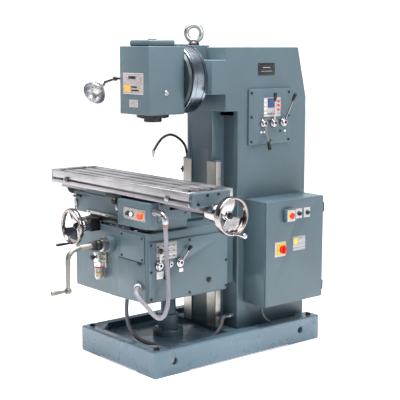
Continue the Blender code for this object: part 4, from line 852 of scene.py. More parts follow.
def make_head():
    axis_z = 1.613
    ring = Piece("swivel_ring_look", "head", "steel")
    back, front = -0.1258, HEAD_HIGH.y + 0.0003
    ring.add(revolve("Y", (0, axis_z), [(front, 0.1945), (front + 0.0045, 0.199), (-0.204, 0.199),
        (-0.203, 0.1972), (-0.201, 0.1972), (-0.2, 0.199), (-0.1485, 0.199), (-0.148, 0.1935),
        (-0.144, 0.1935), (-0.1435, 0.199), (-0.128, 0.199), (back, 0.197), (back, 0.0265),
        (front, 0.0265)], 160), RING_STEEL)
    for k in range(-45, 46, 3):
        long = 0.013 if k % 15 == 0 else 0.007
        tick = box((-0.0005, -0.2, 0.1986), (0.0005, -0.2 + long, 0.1993))
        ring.add(swung(tick, axis_z, k), BLACK_OXIDE)
    ring.done("swivel_ring")
    x, front, wide, deep = 0.14, HEAD_LOW.y, 0.01, 0.034
    rear = -0.2385
    outline = [(-x, front), (x, front), (x, rear - deep), (x - wide, rear), (-x + wide, rear),
        (-x, rear - deep)]
    shell = Piece("head_shell", "head", "paint")
    shell.add(prism("Z", outline, HEAD_LOW.z, HEAD_HIGH.z, 0.006, 4), PAINT)
    # The flange behind the head takes the darker paint copy, as painted shade in the recess before the
    # swivel ring.
    shell.add(turned("Y", (0, axis_z), [(rear - 0.006, 0.18), (rear + 0.002, 0.1835),
        (rear + 0.0115, 0.186), (rear + 0.013, 0.184)], 128), SHADED_FLANGE_PAINT)
    shell.done("head_casting")
    keep("head_cover", PAINT, 0.002, 3)
    for name, rect, material in (("head_label", (-0.106, 0.087, 1.533, 1.652), PINK_SILVER),
            ("head_small_label", (-0.046, 0.034, 1.461, 1.503), PINK_SILVER)):
        x0, x1, z0, z1 = rect
        label = Piece(name, "head", "label")
        label.add(box((x0, front - 0.0016, z0), (x1, front + 0.001, z1), 0.0006), LIGHT_GREY)
        label.add(box((x0 + 0.004, front - 0.0024, z0 + 0.004), (x1 - 0.004, front, z1 - 0.004), 0.0004),
            material)
        if name == "head_label":
            label.add(box((x0 + 0.016, front - 0.0034, z0 + 0.012), (x0 + 0.07, front - 0.001, z0 + 0.05),
                0.0004), AMBER)
            for k, width in enumerate((0.07, 0.052)):
                z = z0 + 0.018 + 0.018 * k
                label.add(box((x0 + 0.082, front - 0.0032, z), (x0 + 0.082 + width, front, z + 0.009),
                    0.0003), BLACK)
            label.add(box((x0 + 0.055, front - 0.0032, z1 - 0.034), (x1 - 0.07, front, z1 - 0.018),
                0.0003), BLACK)
        label.done()
    plug = Piece("oil_sight", "head", "steel")
    side = 0.14
    centre = (-0.376, 1.54)
    plug.add(turned("X", centre, stepped(side, 1, [(0, 0.015), (0.003, 0.015), (0.006, 0.0125),
        (0.0065, 0.0095)])), CHROME)
    plug.add(disc("X", centre, 0.0095, side + 0.002, side + 0.0052, 0.0005), BLACK)
    plug.done()


def make_spindle():
    centre = (0, -0.3675)
    cap = Piece("bearing_cap_look", "head", "dark_steel")
    cap.add(revolve("Z", centre, [(1.4, 0.0885), (1.4035, 0.0925), (1.4195, 0.0925), (1.4195, 0.0525),
        (1.4, 0.0525)]), DARK_STEEL)
    screw_circle(cap, centre, 0.072, 1.4, -1, 30, 0.004)
    cap.done("bearing_cap")
    nose = Piece("spindle_look", "spindle", "steel")
    nose.add(revolve("Z", centre, [(1.375, 0.0485), (1.3775, 0.051), (1.419, 0.051), (1.419, 0.0455),
        (1.51, 0.0455), (1.51, 0.06), (1.56, 0.06), (1.56, 0.03), (1.785, 0.03), (1.785, 0.011),
        (1.5, 0.011), (1.495, 0.02), (1.379, 0.034), (1.375, 0.0355)]), DARK_STEEL)
    for side in (-1, 1):
        y = sorted((side * 0.036, side * 0.047))
        nose.add(box((-0.0079, centre[1] + y[0], 1.3755), (0.0079, centre[1] + y[1], 1.3835), 0.0008),
            TURNED_STEEL)
    nose.done("spindle")


def make_lamp():
    root = joint_point("lamp_arm_swing")
    elbow = Vector((-0.3, -0.415, 1.612))
    end = Vector((-0.405, -0.42, 1.588))
    arm = Piece("lamp_arm_look", "lamp_arm", "aluminium")
    arm.add(turned("X", (root.y, root.z), stepped(root.x, -1, [(0, 0.02), (0.009, 0.02), (0.012, 0.017),
        (0.016, 0.01)])), ALUMINIUM)
    arm.add(rod(root - Vector((0.01, 0, 0)), elbow, [(0, 0.0075), (1, 0.0065)]), DARK_STEEL)
    arm.add(rod(elbow - Vector((0.013, 0.0004, 0)), elbow + Vector((0.013, 0, 0)),
        [(0, 0.008), (0.12, 0.0115), (0.3, 0.013), (0.7, 0.013), (0.88, 0.0115), (1, 0.008)]), BLACK)
    arm.add(rod(elbow, end, [(0, 0.0065), (1, 0.0075)]), DARK_STEEL)
    arm.done("lamp_arm")
    way = Vector((0.3, -0.7, -0.42)).normalized()
    back = end + Vector((-0.028, 0.012, -0.004))
    profile = [(0.000, 0.013), (0.003, 0.0155), (0.036, 0.017), (0.04, 0.018), (0.046, 0.0215),
        (0.054, 0.03), (0.064, 0.04), (0.076, 0.051), (0.088, 0.0595), (0.1, 0.0665), (0.113, 0.071),
        (0.118, 0.0722), (0.12, 0.0718), (0.119, 0.07), (0.112, 0.0685), (0.099, 0.0635), (0.087, 0.056),
        (0.075, 0.047), (0.064, 0.037), (0.055, 0.026), (0.05, 0.015), (0.006, 0.0145), (0.006, 0.0),
        (0.000, 0.0)]
    shade = Piece("lamp_shade_look", "lamp_shade", "aluminium")
    shade.add(aim(revolve("Z", (0, 0), profile), back, way), ALUMINIUM)
    for k in range(4):
        z = 0.01 + 0.007 * k
        shade.add(aim(sleeve("Z", (0, 0), z, z + 0.0035, 0.0158, 0.0178, 40), back, way), ALUMINIUM)
    shade.add(aim(turned("Z", (0, 0), [(0.03, 0.012), (0.052, 0.012), (0.06, 0.017), (0.072, 0.024),
        (0.082, 0.026), (0.092, 0.0235), (0.1, 0.015), (0.1025, 0.004)]), back, way), WHITE)
    shade.done("lamp_shade")


# ---------------------------------------------------------------- knee

def make_knee_looks():
    keep("knee_casting", PAINT, 0.002, 3)
    keep("knee_side_cover", PAINT_SMOOTH, 0.0012)
    keep("knee_front_cover", PAINT_SMOOTH, 0.0012)
    face = COVER_HIGH.x
    near, middle, far = COVER_LOW.y + 0.012, (COVER_LOW.y + COVER_HIGH.y) / 2, COVER_HIGH.y - 0.012
    rows = (COVER_LOW.z + 0.012, COVER_HIGH.z - 0.014)
    points = [(face, y, z) for y in (near, middle, far) for z in rows]
    points += [(face, y, (COVER_LOW.z + COVER_HIGH.z) / 2) for y in (near, far)]
    socket_screws("knee_side_screws", "knee", points, (1, 0, 0), 0.0072)
    front = FRONT_COVER_LOW.y
    rows = (FRONT_COVER_LOW.z + 0.014, FRONT_COVER_HIGH.z - 0.014)
    points = [(x, front, z) for x in (FRONT_COVER_LOW.x + 0.014, FRONT_COVER_HIGH.x - 0.014)
              for z in rows]
    socket_screws("knee_front_screws", "knee", points, (0, -1, 0), 0.0068)
    plugs = Piece("knee_plugs", "knee", "dark_steel")
    plugs.add(disc("X", (-0.239, 0.499), 0.015, face + 0.0002, face + 0.0075, 0.002), BLACK_OXIDE)
    plugs.add(hexagon_nut((face + 0.0075, -0.239, 0.499), (1, 0, 0), 0.007, 0.003), BLACK_OXIDE)
    plugs.add(box((0.248, -0.668, 0.625), (0.284, -0.6604, 0.639), 0.002), BLACK_OXIDE)
    plugs.done()
    pad = Piece("knee_front_pad", "knee", "paint")
    pad.add(box((0.06, -0.664, 0.424), (0.322, -0.66, 0.641), 0.0015, 3), PAINT)
    pad.done()
    label = Piece("feed_label", "knee", "label")
    label.add(box((face, -0.606, 0.655), (face + 0.0012, -0.468, 0.748), 0.0006), SILVER_PRINT)
    label.add(box((face, -0.606, 0.552), (face + 0.0012, -0.56, 0.592), 0.0006), WHITE)
    label.add(box((face, -0.452, 0.572), (face + 0.0012, -0.424, 0.592), 0.0006), WHITE)
    for y in (-0.596, -0.56, -0.524, -0.488):
        for z in (0.672, 0.7, 0.728):
            label.add(disc("X", (y, z), 0.0045, face + 0.001, face + 0.002, 0.0004, 16), BLACK)
    label.done()
    gland = Piece("conduit_gland", "knee", "white_plastic")
    start, end = Vector((0.2665, -0.6747, 0.5076)), Vector((0.2785, -0.686, 0.503))
    gland.add(rod(start, end, [(0, 0.019), (0.1, 0.0205), (0.75, 0.0205), (0.95, 0.018), (1, 0.015)], 12),
        WHITE)
    gland.done()


def make_screw_column():
    """The pedestal on the tray and the threaded elevating screw that rises from it."""
    centre = (0, -0.2635)
    foot = 0.1123
    stand = Piece("pedestal_look", "frame", "paint")
    stand.add(revolve("Z", centre, [(foot, 0.0885), (0.138, 0.0885), (0.146, 0.087), (0.151, 0.082),
        (0.153, 0.065), (0.157, 0.06), (0.232, 0.0585), (0.238, 0.057), (0.24, 0.048), (0.243, 0.0455),
        (0.322, 0.0455), (0.325, 0.0435), (0.325, 0.029), (foot, 0.029)], 96), PAINT)
    screw_circle(stand, centre, 0.075, 0.15, 1, 0, 0.005)
    stand.done("screw_pedestal")
    pitch = 0.006
    profile = [(0.106, 0.024)]
    for k in range(int((0.6 - 0.11) / pitch)):
        z = 0.11 + k * pitch
        profile += [(z, 0.0242), (z + pitch * 0.15, 0.0276), (z + pitch * 0.5, 0.0276),
            (z + pitch * 0.65, 0.0242)]
    profile += [(0.6, 0.0242), (0.601, 0.02), (0.666, 0.02), (0.676, 0.0297), (0.691, 0.0147)]
    turned_piece("elevating_screw_look", "lift_screw", "steel", "elevating_screw", "Z", centre, profile,
        GROUND_STEEL, 48)


def make_lube_pump():
    back = -0.6608
    x = -0.086
    pump = Piece("lube_pump_look", "knee", "steel")
    pump.add(box((x - 0.032, back - 0.013, 0.56), (x + 0.043, back, 0.655), 0.003, 3), ZINC)
    pump.add(box((x - 0.022, back - 0.052, 0.588), (x + 0.022, back - 0.01, 0.65), 0.004, 3), ALUMINIUM)
    centre = (x, back - 0.03)
    pump.add(turned("Z", centre, [(0.566, 0.024), (0.568, 0.027), (0.59, 0.027), (0.592, 0.025)]),
        ALUMINIUM)
    pump.add(turned("Z", centre, [(0.558, 0.0235), (0.56, 0.0262), (0.567, 0.0262), (0.569, 0.0235)]),
        RED)
    pump.add(revolve("Z", centre, [(0.56, 0.0242), (0.51, 0.0242), (0.5, 0.0225), (0.492, 0.0175),
        (0.488, 0.01), (0.487, 0.0), (0.4895, 0.0), (0.4905, 0.009), (0.494, 0.0155), (0.502, 0.0203),
        (0.511, 0.022), (0.56, 0.022)]), CLEAR)
    pump.add(turned("Z", centre, [(0.4925, 0.006), (0.498, 0.015), (0.507, 0.0196), (0.53, 0.0212),
        (0.531, 0.0205)]), AMBER)
    pump.add(turned("Z", centre, [(0.498, 0.0045), (0.565, 0.0045)], 20), TURNED_STEEL)
    for z in (0.636, 0.606):
        pump.add(turned("Y", (x + 0.032, z), [(back - 0.012, 0.0075), (back - 0.02, 0.0075),
            (back - 0.021, 0.0055), (back - 0.03, 0.005)], 6), BRASS)
    pipe = smooth_route([(x + 0.032, back - 0.026, 0.636), (x + 0.038, back - 0.034, 0.634),
        (x + 0.05, back - 0.034, 0.622), (x + 0.056, back - 0.026, 0.6), (x + 0.056, back - 0.01, 0.588),
        (x + 0.056, back + 0.004, 0.586)], 0.004)
    pump.add(sweep(pipe, lambda s: 0.0026, 12), BRASS)
    pump.done("lube_pump")
    turned_piece("pump_knob_look", "pump_plunger", "black_plastic", "pump_knob", "Y", (x, 0.622),
        stepped(back - 0.052, -1, [(-0.016, 0.0055), (0.01, 0.0055), (0.011, 0.0115), (0.015, 0.0145),
        (0.026, 0.015), (0.031, 0.013), (0.0335, 0.009)]), BLACK)


# ---------------------------------------------------------------- wheels and crank

TABLE_SCREW = (-0.4875, 0.948)        # the table screw's axis: y, z

def ring_sector(axis, centre, inner, outer, middle, half_in, half_out, low, high):
    """A web between two radii, with arcs at both ends and hollowed sides."""
    steps, hollow = 8, 2.2

    def on_side(k, side):
        share = k / steps
        half = half_out + (half_in - half_out) * (1 - (1 - share) ** hollow)
        return outer + (inner - outer) * share, middle + side * half

    points = [(outer, middle - half_out + 2 * half_out * k / steps) for k in range(steps + 1)]
    points += [on_side(k, 1) for k in range(1, steps)]
    points += [(inner, middle + half_in), (inner, middle - half_in)]
    points += [on_side(k, -1) for k in range(steps - 1, 0, -1)]
    outline = [(centre[0] + r * math.cos(t), centre[1] + r * math.sin(t)) for r, t in points]
    return prism(axis, outline, low, high, 0.0012, 2)


def handwheel(piece, axis, centre, along, outward, reach, half_depth, dish, heading):
    """A deep-rimmed wheel with a wide and a narrow web, and a hub dish behind its rim."""
    rim = []
    for k in range(28):
        turn = 2 * math.pi * k / 28
        flat, round_ = math.cos(turn), math.sin(turn)
        rim.append((along + half_depth * math.copysign(abs(flat) ** 0.55, flat),
            reach - 0.008 + 0.008 * math.copysign(abs(round_) ** 0.55, round_)))
    # The rim is chrome with a painted brown reflection.
    piece.add(revolve(axis, centre, rim, 96), BROWN_REFLECTION_CHROME)
    front = along - outward * dish
    near_hub = front - outward * 0.009 - 0.004
    near_rim = along - outward * (half_depth - 0.009) - 0.004
    outer = reach - 0.0135
    for turn, half_in, half_out in ((0, 58, 61), (180, 60, 38)):
        web = ring_sector(axis, centre, 0.012, outer, math.radians(heading + turn), math.radians(half_in),
            math.radians(half_out), 0.0, 0.008)
        for vertex in web.verts:
            x, y, z = vertex.co
            deep, a, b = {"X": (x, y, z), "Y": (y, x, z)}[axis]
            share = (math.hypot(a - centre[0], b - centre[1]) - 0.012) / (outer - 0.012)
            vertex.co = place(axis, deep + near_hub + (near_rim - near_hub) * share, a, b)
        piece.add(web, CHROME)
    out = lambda distance: front + outward * distance
    piece.add(turned(axis, centre, [(out(-0.018), 0.02), (out(-0.016), 0.022), (out(-0.003), 0.024),
        (out(-0.001), 0.0235), (out(0.0), 0.0215)]), CHROME)
    direction = place(axis, outward, 0, 0)
    piece.add(turned(axis, centre, [(out(-0.002), 0.0185), (out(0.003), 0.0185), (out(0.004), 0.017)]),
        BLACK_OXIDE)
    piece.add(hexagon_nut(place(axis, out(0.0035), *centre), direction, 0.013, 0.009), BLACK_OXIDE)


def dial(piece, axis, centre, start, end, radius, count=60):
    """A graduated collar: a satin band with cut lines round its rim."""
    low, high = min(start, end), max(start, end)
    piece.add(turned(axis, centre, [(low, radius - 0.002), (low + 0.001, radius), (high - 0.001, radius),
        (high, radius - 0.002)], 96), TURNED_STEEL)
    for k in range(count):
        turn = 2 * math.pi * k / count
        long = 0.62 if k % 5 == 0 else 0.36
        tick = box((radius - 0.0004, -0.00035, 0.0), (radius + 0.0003, 0.00035, (high - low) * long))
        matrix = Matrix.Rotation(turn, 4, "Z")
        bmesh.ops.transform(tick, matrix=matrix, verts=tick.verts[:])
        for vertex in tick.verts:
            a, b, along = vertex.co
            vertex.co = place(axis, low + along, centre[0] + a, centre[1] + b)
        piece.add(tick, BLACK_OXIDE)


def knurled(axis, centre, start, end, radius, teeth=40):
    """A straight-knurled grip ring."""
    outline = []
    for k in range(teeth * 2):
        turn = math.pi * k / teeth
        reach = radius if k % 2 else radius * 0.955
        outline.append((centre[0] + reach * math.cos(turn), centre[1] + reach * math.sin(turn)))
    return prism(axis, outline, min(start, end), max(start, end))


def grip(name, body, node, axis, centre, base, outward, material, length=0.0915, thick=1.0):
    shares = [(0, 0.0072), (0.02, 0.0098), (0.06, 0.0104), (0.08, 0.0086), (0.16, 0.0088), (0.35, 0.0098),
        (0.6, 0.0118), (0.8, 0.0136), (0.9, 0.0138), (0.96, 0.0122), (0.99, 0.0088), (1, 0.005)]
    profile = [(base + outward * (0.0003 + share * length), radius * thick) for share, radius in shares]
    turned_piece(name, body, "chrome", node, axis, centre, profile, material, 48)


def make_wheels():
    centre = TABLE_SCREW
    table = Piece("table_handwheel_look", "table_wheel", "chrome")
    handwheel(table, "X", centre, 0.82, 1, 0.101, 0.02, 0.012, -72)
    table.add(turned("X", centre, [(-0.689, 0.011), (-0.64, 0.0158), (0.7, 0.0158), (0.726, 0.015),
        (0.727, 0.029), (0.731, 0.0305), (0.745, 0.032), (0.751, 0.032), (0.752, 0.028), (0.779, 0.028),
        (0.786, 0.024), (0.79, 0.022)]), TURNED_STEEL)
    dial(table, "X", centre, 0.752, 0.772, 0.041)
    table.add(knurled("X", centre, 0.772, 0.7785, 0.0365), TURNED_STEEL)
    table.done("table_handwheel")
    grip("table_grip_look", "table_handle", "table_grip", "X", (centre[0], centre[1] - 0.088), 0.84, 1,
        CHROME)
    centre = (-0.146, 0.8)
    cross = Piece("cross_handwheel_look", "cross_wheel", "chrome")
    handwheel(cross, "Y", centre, -0.826, -1, 0.104, 0.0125, 0.024, -108)
    cross.add(turned("Y", centre, [(-0.788, 0.02), (-0.784, 0.024), (-0.768, 0.028), (-0.762, 0.03),
        (-0.742, 0.03), (-0.728, 0.029), (-0.727, 0.0128), (-0.16, 0.0128)]), TURNED_STEEL)
    dial(cross, "Y", centre, -0.76, -0.742, 0.037)
    cross.done("cross_handwheel")
    grip("cross_grip_look", "cross_handle", "cross_grip", "Y", (centre[0], centre[1] - 0.093), -0.8385,
        -1, DARK_STEEL, 0.0945, 0.65)
    block = Piece("cross_bearing_cover", "knee", "dark_steel")
    reach = 0.0345
    for side in (-1, 1):
        x = sorted((centre[0] + side * 0.0325, centre[0] + side * reach))
        block.add(box((x[0], -0.7262, centre[1] - reach), (x[1], -0.661, centre[1] + reach), 0.0008),
            DARK_STEEL)
        z = sorted((centre[1] + side * 0.0325, centre[1] + side * reach))
        block.add(box((centre[0] - reach, -0.7262, z[0]), (centre[0] + reach, -0.661, z[1]), 0.0008),
            DARK_STEEL)
    for k in range(5):
        y = -0.722 + 0.013 * k
        block.add(box((centre[0] + reach - 0.001, y, centre[1] - 0.03), (centre[0] + reach + 0.003,
            y + 0.006, centre[1] + 0.032), 0.001), DARK_STEEL)
    block.add(revolve("Y", centre, [(-0.7275, 0.0145), (-0.7275, 0.0335), (-0.7255, 0.034),
        (-0.7255, 0.0145)]), BLACK_OXIDE)
    block.done()


def make_crank():
    z = 0.706
    axis = (0, z)
    crank = Piece("crank_look", "crank", "steel")
    crank.add(turned("Y", axis, [(-0.872, 0.015), (-0.868, 0.0168), (-0.806, 0.0175), (-0.798, 0.019)]),
        CAST_GREY)
    notches = Piece("crank_collar", "crank", "dark_steel")
    notches.add(turned("Y", axis, [(-0.798, 0.0205), (-0.795, 0.0225), (-0.77, 0.0225), (-0.766, 0.0285),
        (-0.762, 0.03), (-0.744, 0.03), (-0.74, 0.028)]), BLACK_OXIDE)
    for k in range(4):
        tooth = box((-0.0065, -0.802, 0.017), (0.0065, -0.768, 0.0262), 0.001)
        notches.add(swung(tooth, z, 45 + 90 * k), BLACK_OXIDE)
    notches.done()
    crank.add(turned("Y", axis, [(-0.74, 0.03), (-0.738, 0.0345), (-0.737, 0.0345), (-0.716, 0.0345),
        (-0.714, 0.032), (-0.702, 0.032), (-0.702, 0.0138), (-0.3035, 0.0138), (-0.2935, 0.0297),
        (-0.2785, 0.0147)]), TURNED_STEEL)
    dial(crank, "Y", axis, -0.736, -0.718, 0.038)
    bend = smooth_route([(0, -0.862, z), (0, -0.885, z - 0.001), (0, -0.912, z - 0.008),
        (0, -0.935, z - 0.024), (0, -0.948, z - 0.048), (0, -0.951, z - 0.085), (0, -0.952, 0.56),
        (0, -0.952, 0.474)], 0.005)
    total = route_length(bend)

    def thickness(travelled):
        share = travelled / total
        if share < 0.3:
            return 0.0142 + 0.0022 * share / 0.3
        return 0.0164 - 0.005 * (share - 0.3) / 0.7

    crank.add(sweep(bend, thickness, 28, (1.0, 0.86), Vector((1, 0, 0))), CAST_GREY)
    crank.add(turned("Y", (0, 0.477), [(-0.968, 0.014), (-0.966, 0.0168), (-0.938, 0.0168),
        (-0.936, 0.015)]), CAST_GREY)
    crank.done("crank")
    grip("crank_grip_look", "crank_handle", "crank_grip", "Y", (0, 0.477), -0.968, -1, CAST_GREY)


# ---------------------------------------------------------------- saddle and table

BUTTON_Z, STOP_X, START_X, PANEL_STOP_X = 0.899, 0.167, 0.204, 0.291
ELBOW_X, ELBOW_Y = 0.446, -0.6215     # where the conduit leaves the switch box's elbow


def make_control_box():
    back, front, left, right = CONTROL_BACK, -0.66, 0.06, 0.349
    radius = 0.045
    outline = [(left, back), (left, front)]
    for k in range(19):
        turn = math.radians(-90 + 5 * k)
        outline.append((right - radius + radius * math.cos(turn),
            front + radius + radius * math.sin(turn)))
    outline.append((right, back))
    case = Piece("control_box_look", "saddle", "paint")
    case.add(prism("Z", outline, 0.825, 0.97, 0.004, 3), PAINT)
    case.add(box((0.122, front - 0.0042, 0.868), (0.318, front + 0.004, 0.93), 0.0015), SILVER_PRINT)
    for x in (0.128, 0.312):
        for z in (0.873, 0.925):
            case.add(disc("Y", (x, z), 0.0028, front - 0.0052, front - 0.0035, 0.0005, 12), DARK_STEEL)
    for x, size, material in ((STOP_X, 0.0155, BLACK), (START_X, 0.0155, BLACK),
            (PANEL_STOP_X, 0.0205, YELLOW)):
        case.add(revolve("Y", (x, BUTTON_Z), [(front - 0.0038, size), (front - 0.0049, size * 0.96),
            (front - 0.0049, 0.0076), (front - 0.0038, 0.0076)]), material)
    case.add(turned("X", (ELBOW_Y, 0.922), [(0.346, 0.0165), (0.348, 0.0185), (0.357, 0.0185),
        (0.358, 0.0155)], 40), ZINC)
    bend = smooth_route([(x, ELBOW_Y, z) for x, z in ((0.356, 0.922), (0.395, 0.9222), (0.422, 0.919),
        (0.438, 0.909), (ELBOW_X, 0.892), (ELBOW_X, 0.8705))], 0.003)
    length = route_length(bend)
    case.add(sweep(bend, lambda s: 0.015 + 0.003 * math.sin(math.pi * s / length), 28), ZINC)
    case.add(turned("Z", (ELBOW_X, ELBOW_Y), [(0.8702, 0.015), (0.8712, 0.0168), (0.884, 0.0168),
        (0.886, 0.015)], 6), ZINC)
    case.add(socket_screw((0.437, -0.6395, 0.914), (0.25, -1, 0.2), 0.0045, 0.003), DARK_STEEL)
    case.done("control_box")
    for name, x, material in (("stop", STOP_X, BLACK), ("start", START_X, WHITE)):
        turned_piece(name + "_look", name + "_button", "black_plastic", "control_" + name, "Y",
            (x, BUTTON_Z), stepped(front, -1, [(-0.01, 0.0064), (0.0085, 0.0064), (0.009, 0.0105),
            (0.0165, 0.011), (0.0185, 0.01), (0.019, 0.007)]), material)
    turned_piece("panel_stop_look", "panel_stop", "red_plastic", "control_estop", "Y",
        (PANEL_STOP_X, BUTTON_Z), stepped(front, -1, [(-0.01, 0.0064), (0.01, 0.0064), (0.0105, 0.0165),
        (0.016, 0.0188), (0.023, 0.0188), (0.028, 0.016), (0.0305, 0.01), (0.031, 0.003)]), ORANGE_RED)


def make_engage_lever():
    y = -0.6063
    lever = Piece("engage_lever_look", "engage", "black_plastic")
    lever.add(turned("Y", (0.005, 0.9), stepped(y, -1, [(0, 0.0195), (0.002, 0.0205), (0.013, 0.0205),
        (0.017, 0.018), (0.019, 0.012)])), CHROME)
    lever.add(rod((0.005, y - 0.01, 0.9), (0.024, y - 0.046, 0.94), [(0, 0.0055), (1, 0.0048)]), CHROME)
    lever.add(rod((0.0215, y - 0.041, 0.935), (0.034, y - 0.066, 0.962), [(0, 0.0068), (0.08, 0.01),
        (0.2, 0.0138), (0.4, 0.0168), (0.6, 0.0172), (0.8, 0.0146), (0.93, 0.0098), (1, 0.004)], 40),
        BLACK)
    lever.done("engage_lever")


def make_saddle_looks():
    keep("saddle", PAINT, 0.002, 3)
    trim = Piece("saddle_scale_bars", "saddle", "steel")
    front = SADDLE_FRONT
    trim.add(box((-0.33, front - 0.006, 0.835), (0.05, front - 0.0004, 0.854), 0.001), GROUND_STEEL)
    for x in (-0.3, -0.12, 0.02):
        trim.add(socket_screw((x, front - 0.006, 0.8445), (0, -1, 0), 0.0045, 0.002), BLACK_OXIDE)
    slant = prism("X", [(-0.599, 0.826), (-0.599, 0.812), (-0.648, 0.8085), (-0.648, 0.818)], -0.3,
        -0.186, 0.0008)
    trim.add(slant, GROUND_STEEL)
    slant = prism("X", [(-0.599, 0.826), (-0.599, 0.812), (-0.64, 0.8085), (-0.64, 0.818)], 0.16, 0.3,
        0.0008)
    trim.add(slant, RUBBER)
    trim.done()
    clamp = Piece("saddle_clamp", "saddle", "steel")
    clamp.add(turned("Y", (-0.44, 0.922), stepped(front, -1, [(0.0003, 0.015), (0.012, 0.015),
        (0.016, 0.012), (0.024, 0.0105), (0.028, 0.006)])), CHROME)
    clamp.add(rod((-0.44, front - 0.018, 0.922), (-0.365, front - 0.02, 0.93),
        [(0, 0.0055), (0.3, 0.0055), (0.31, 0.0078), (0.9, 0.009), (0.97, 0.0075), (1, 0.004)]), BLACK)
    clamp.add(box((-0.448, front - 0.007, 0.862), (-0.432, front - 0.0003, 0.902), 0.002), POLISHED)
    clamp.add(disc("Y", (-0.44, 0.85), 0.006, front - 0.004, front - 0.0003), CHROME)
    clamp.done()
    side = Piece("saddle_side_screws", "saddle", "steel")
    x = 0.3492
    side.add(socket_screw((x, -0.41, 0.9), (1, 0, 0), 0.0062, 0.003), BLACK_OXIDE)
    side.add(rod((x, -0.382, 0.95), (x + 0.012, -0.382, 0.95), [(0, 0.006), (0.5, 0.006), (1, 0.003)],
        16), BRASS)
    side.done()
    knee_trim = Piece("knee_top_trim", "knee", "steel")
    knee_trim.add(disc("Z", (0.215, -0.639), 0.018, 0.8051, 0.809, 0.001, ROUND), POLISHED)
    knee_trim.add(box((-0.093, -0.6545, 0.8185), (0.163, -0.6215, 0.8236), 0.0005), GROUND_STEEL)
    knee_trim.add(box((-0.106, -0.659, 0.8053), (0.18, -0.6205, 0.8183), 0.0015), DARK_STEEL)
    for x in (-0.07, -0.01, 0.05, 0.11):
        knee_trim.add(box((x, -0.66, 0.81), (x + 0.006, -0.6575, 0.8183), 0.0005), GROUND_STEEL)
    knee_trim.done()
    trip = Piece("trip_block", "saddle", "black_plastic")
    trip.add(box((-0.075, -0.648, 0.956), (0.075, front - 0.0004, 0.9825), 0.003), BLACK_OXIDE)
    for x in (-0.06, 0.06):
        trip.add(socket_screw((x, -0.648, 0.969), (0, -1, 0), 0.005, 0.002), DARK_STEEL)
    trip.done()


def make_table_looks():
    keep("table", TABLE_METAL, 0.0006, 2)
    for node in ("table_bracket_left", "table_bracket_right"):
        keep(node, PAINT, 0.0015, 2)
    for name, side in (("right", 1), ("left", -1)):
        points = [(side * (TABLE_HIGH.x + 0.032), y, z) for y, z in ((-0.538, 1.045), (-0.466, 1.046),
            (-0.6, 1.003), (-0.396, 1.003))]
        socket_screws("bracket_%s_screws" % name, "table", points, (side, 0, 0), 0.008)
    hub = Piece("table_hub", "table", "steel")
    for side in (-1, 1):
        hub.add(revolve("X", TABLE_SCREW, stepped(0, side, [(0.7266, 0.0205), (0.7266, 0.04),
            (0.7225, 0.0452), (0.72, 0.0464), (0.7, 0.0464), (0.699, 0.0468), (0.6605, 0.0468),
            (0.6605, 0.0455), (0.718, 0.0455), (0.718, 0.0205)])), CHROME)
    hub.done()
    front = TABLE_LOW.y
    dogs = Piece("stop_dogs", "table", "steel")
    for x in (-0.5, 0.488):
        dogs.add(box((x - 0.016, front - 0.012, 1.000), (x + 0.016, front - 0.0003, 1.026), 0.002),
            TURNED_STEEL)
        dogs.add(hexagon_nut((x, front - 0.012, 1.013), (0, -1, 0), 0.008, 0.007), POLISHED)
        dogs.add(box((x - 0.01, front + 0.001, 1.0085), (x + 0.01, front + 0.007, 1.0175)), DARK_STEEL)
    dogs.done()


# ---------------------------------------------------------------- coolant and hoses

def make_coolant():
    x, y = joint_point("gooseneck_swing").x, joint_point("gooseneck_swing").y
    foot = 0.8053
    pipe = Piece("coolant_pipe_look", "knee", "steel")
    pipe.add(turned("Z", (x, y), [(foot, 0.0175), (foot + 0.008, 0.018), (foot + 0.01, 0.016),
        (foot + 0.012, 0.0085), (1.03, 0.0085)]), TURNED_STEEL)
    pipe.add(box((x - 0.014, y - 0.016, 1.03), (x + 0.014, y + 0.012, 1.066), 0.004, 4), ZINC)
    pipe.add(hexagon_nut((x, y, 1.066), (0, 0, 1), 0.0095, 0.0118), ZINC)
    pipe.done("coolant_pipe")
    face = y - 0.016
    tap = Piece("tap_look", "tap", "black_plastic")
    tap.add(turned("Y", (x, 1.049), stepped(face, -1, [(-0.01, 0.0038), (0.014, 0.0038), (0.015, 0.008),
        (0.025, 0.008), (0.026, 0.006)])), BLACK)
    for way in ((1, 0, 0), (0, 0, 1)):
        reach = 0.0185 * Vector(way)
        middle = Vector((x, face - 0.02, 1.049))
        tap.add(rod(middle - reach, middle + reach, [(0, 0.003), (0.06, 0.0048), (0.94, 0.0048),
            (1, 0.003)], 16), BLACK)
    tap.done("tap_handle")
    route = ((x, y, 1.0783), (x, y, 1.1), (x, y - 0.001, 1.14), (x, y - 0.016, 1.19),
        (x, y - 0.049, 1.2276), (x, y - 0.096, 1.257), (x + 0.002, y - 0.144, 1.266),
        (x + 0.004, y - 0.194, 1.25), (x + 0.006, y - 0.234, 1.215), (x + 0.008, y - 0.266, 1.175))
    points = smooth_route(route, 0.002)
    swing = Piece("gooseneck_look", "gooseneck", "black_plastic")
    swing.add(sweep(points, lambda s: 0.0072 + 0.0008 * math.sin(2 * math.pi * s / 0.0085), 16), BLACK)
    swing.add(rod((x + 0.0078, y - 0.2655, 1.179), (x + 0.011, y - 0.271, 1.14),
        [(0, 0.0087), (0.3, 0.0087), (0.38, 0.007), (0.9, 0.0038), (1, 0.0034)], 24), ALUMINIUM)
    swing.done("coolant_gooseneck")


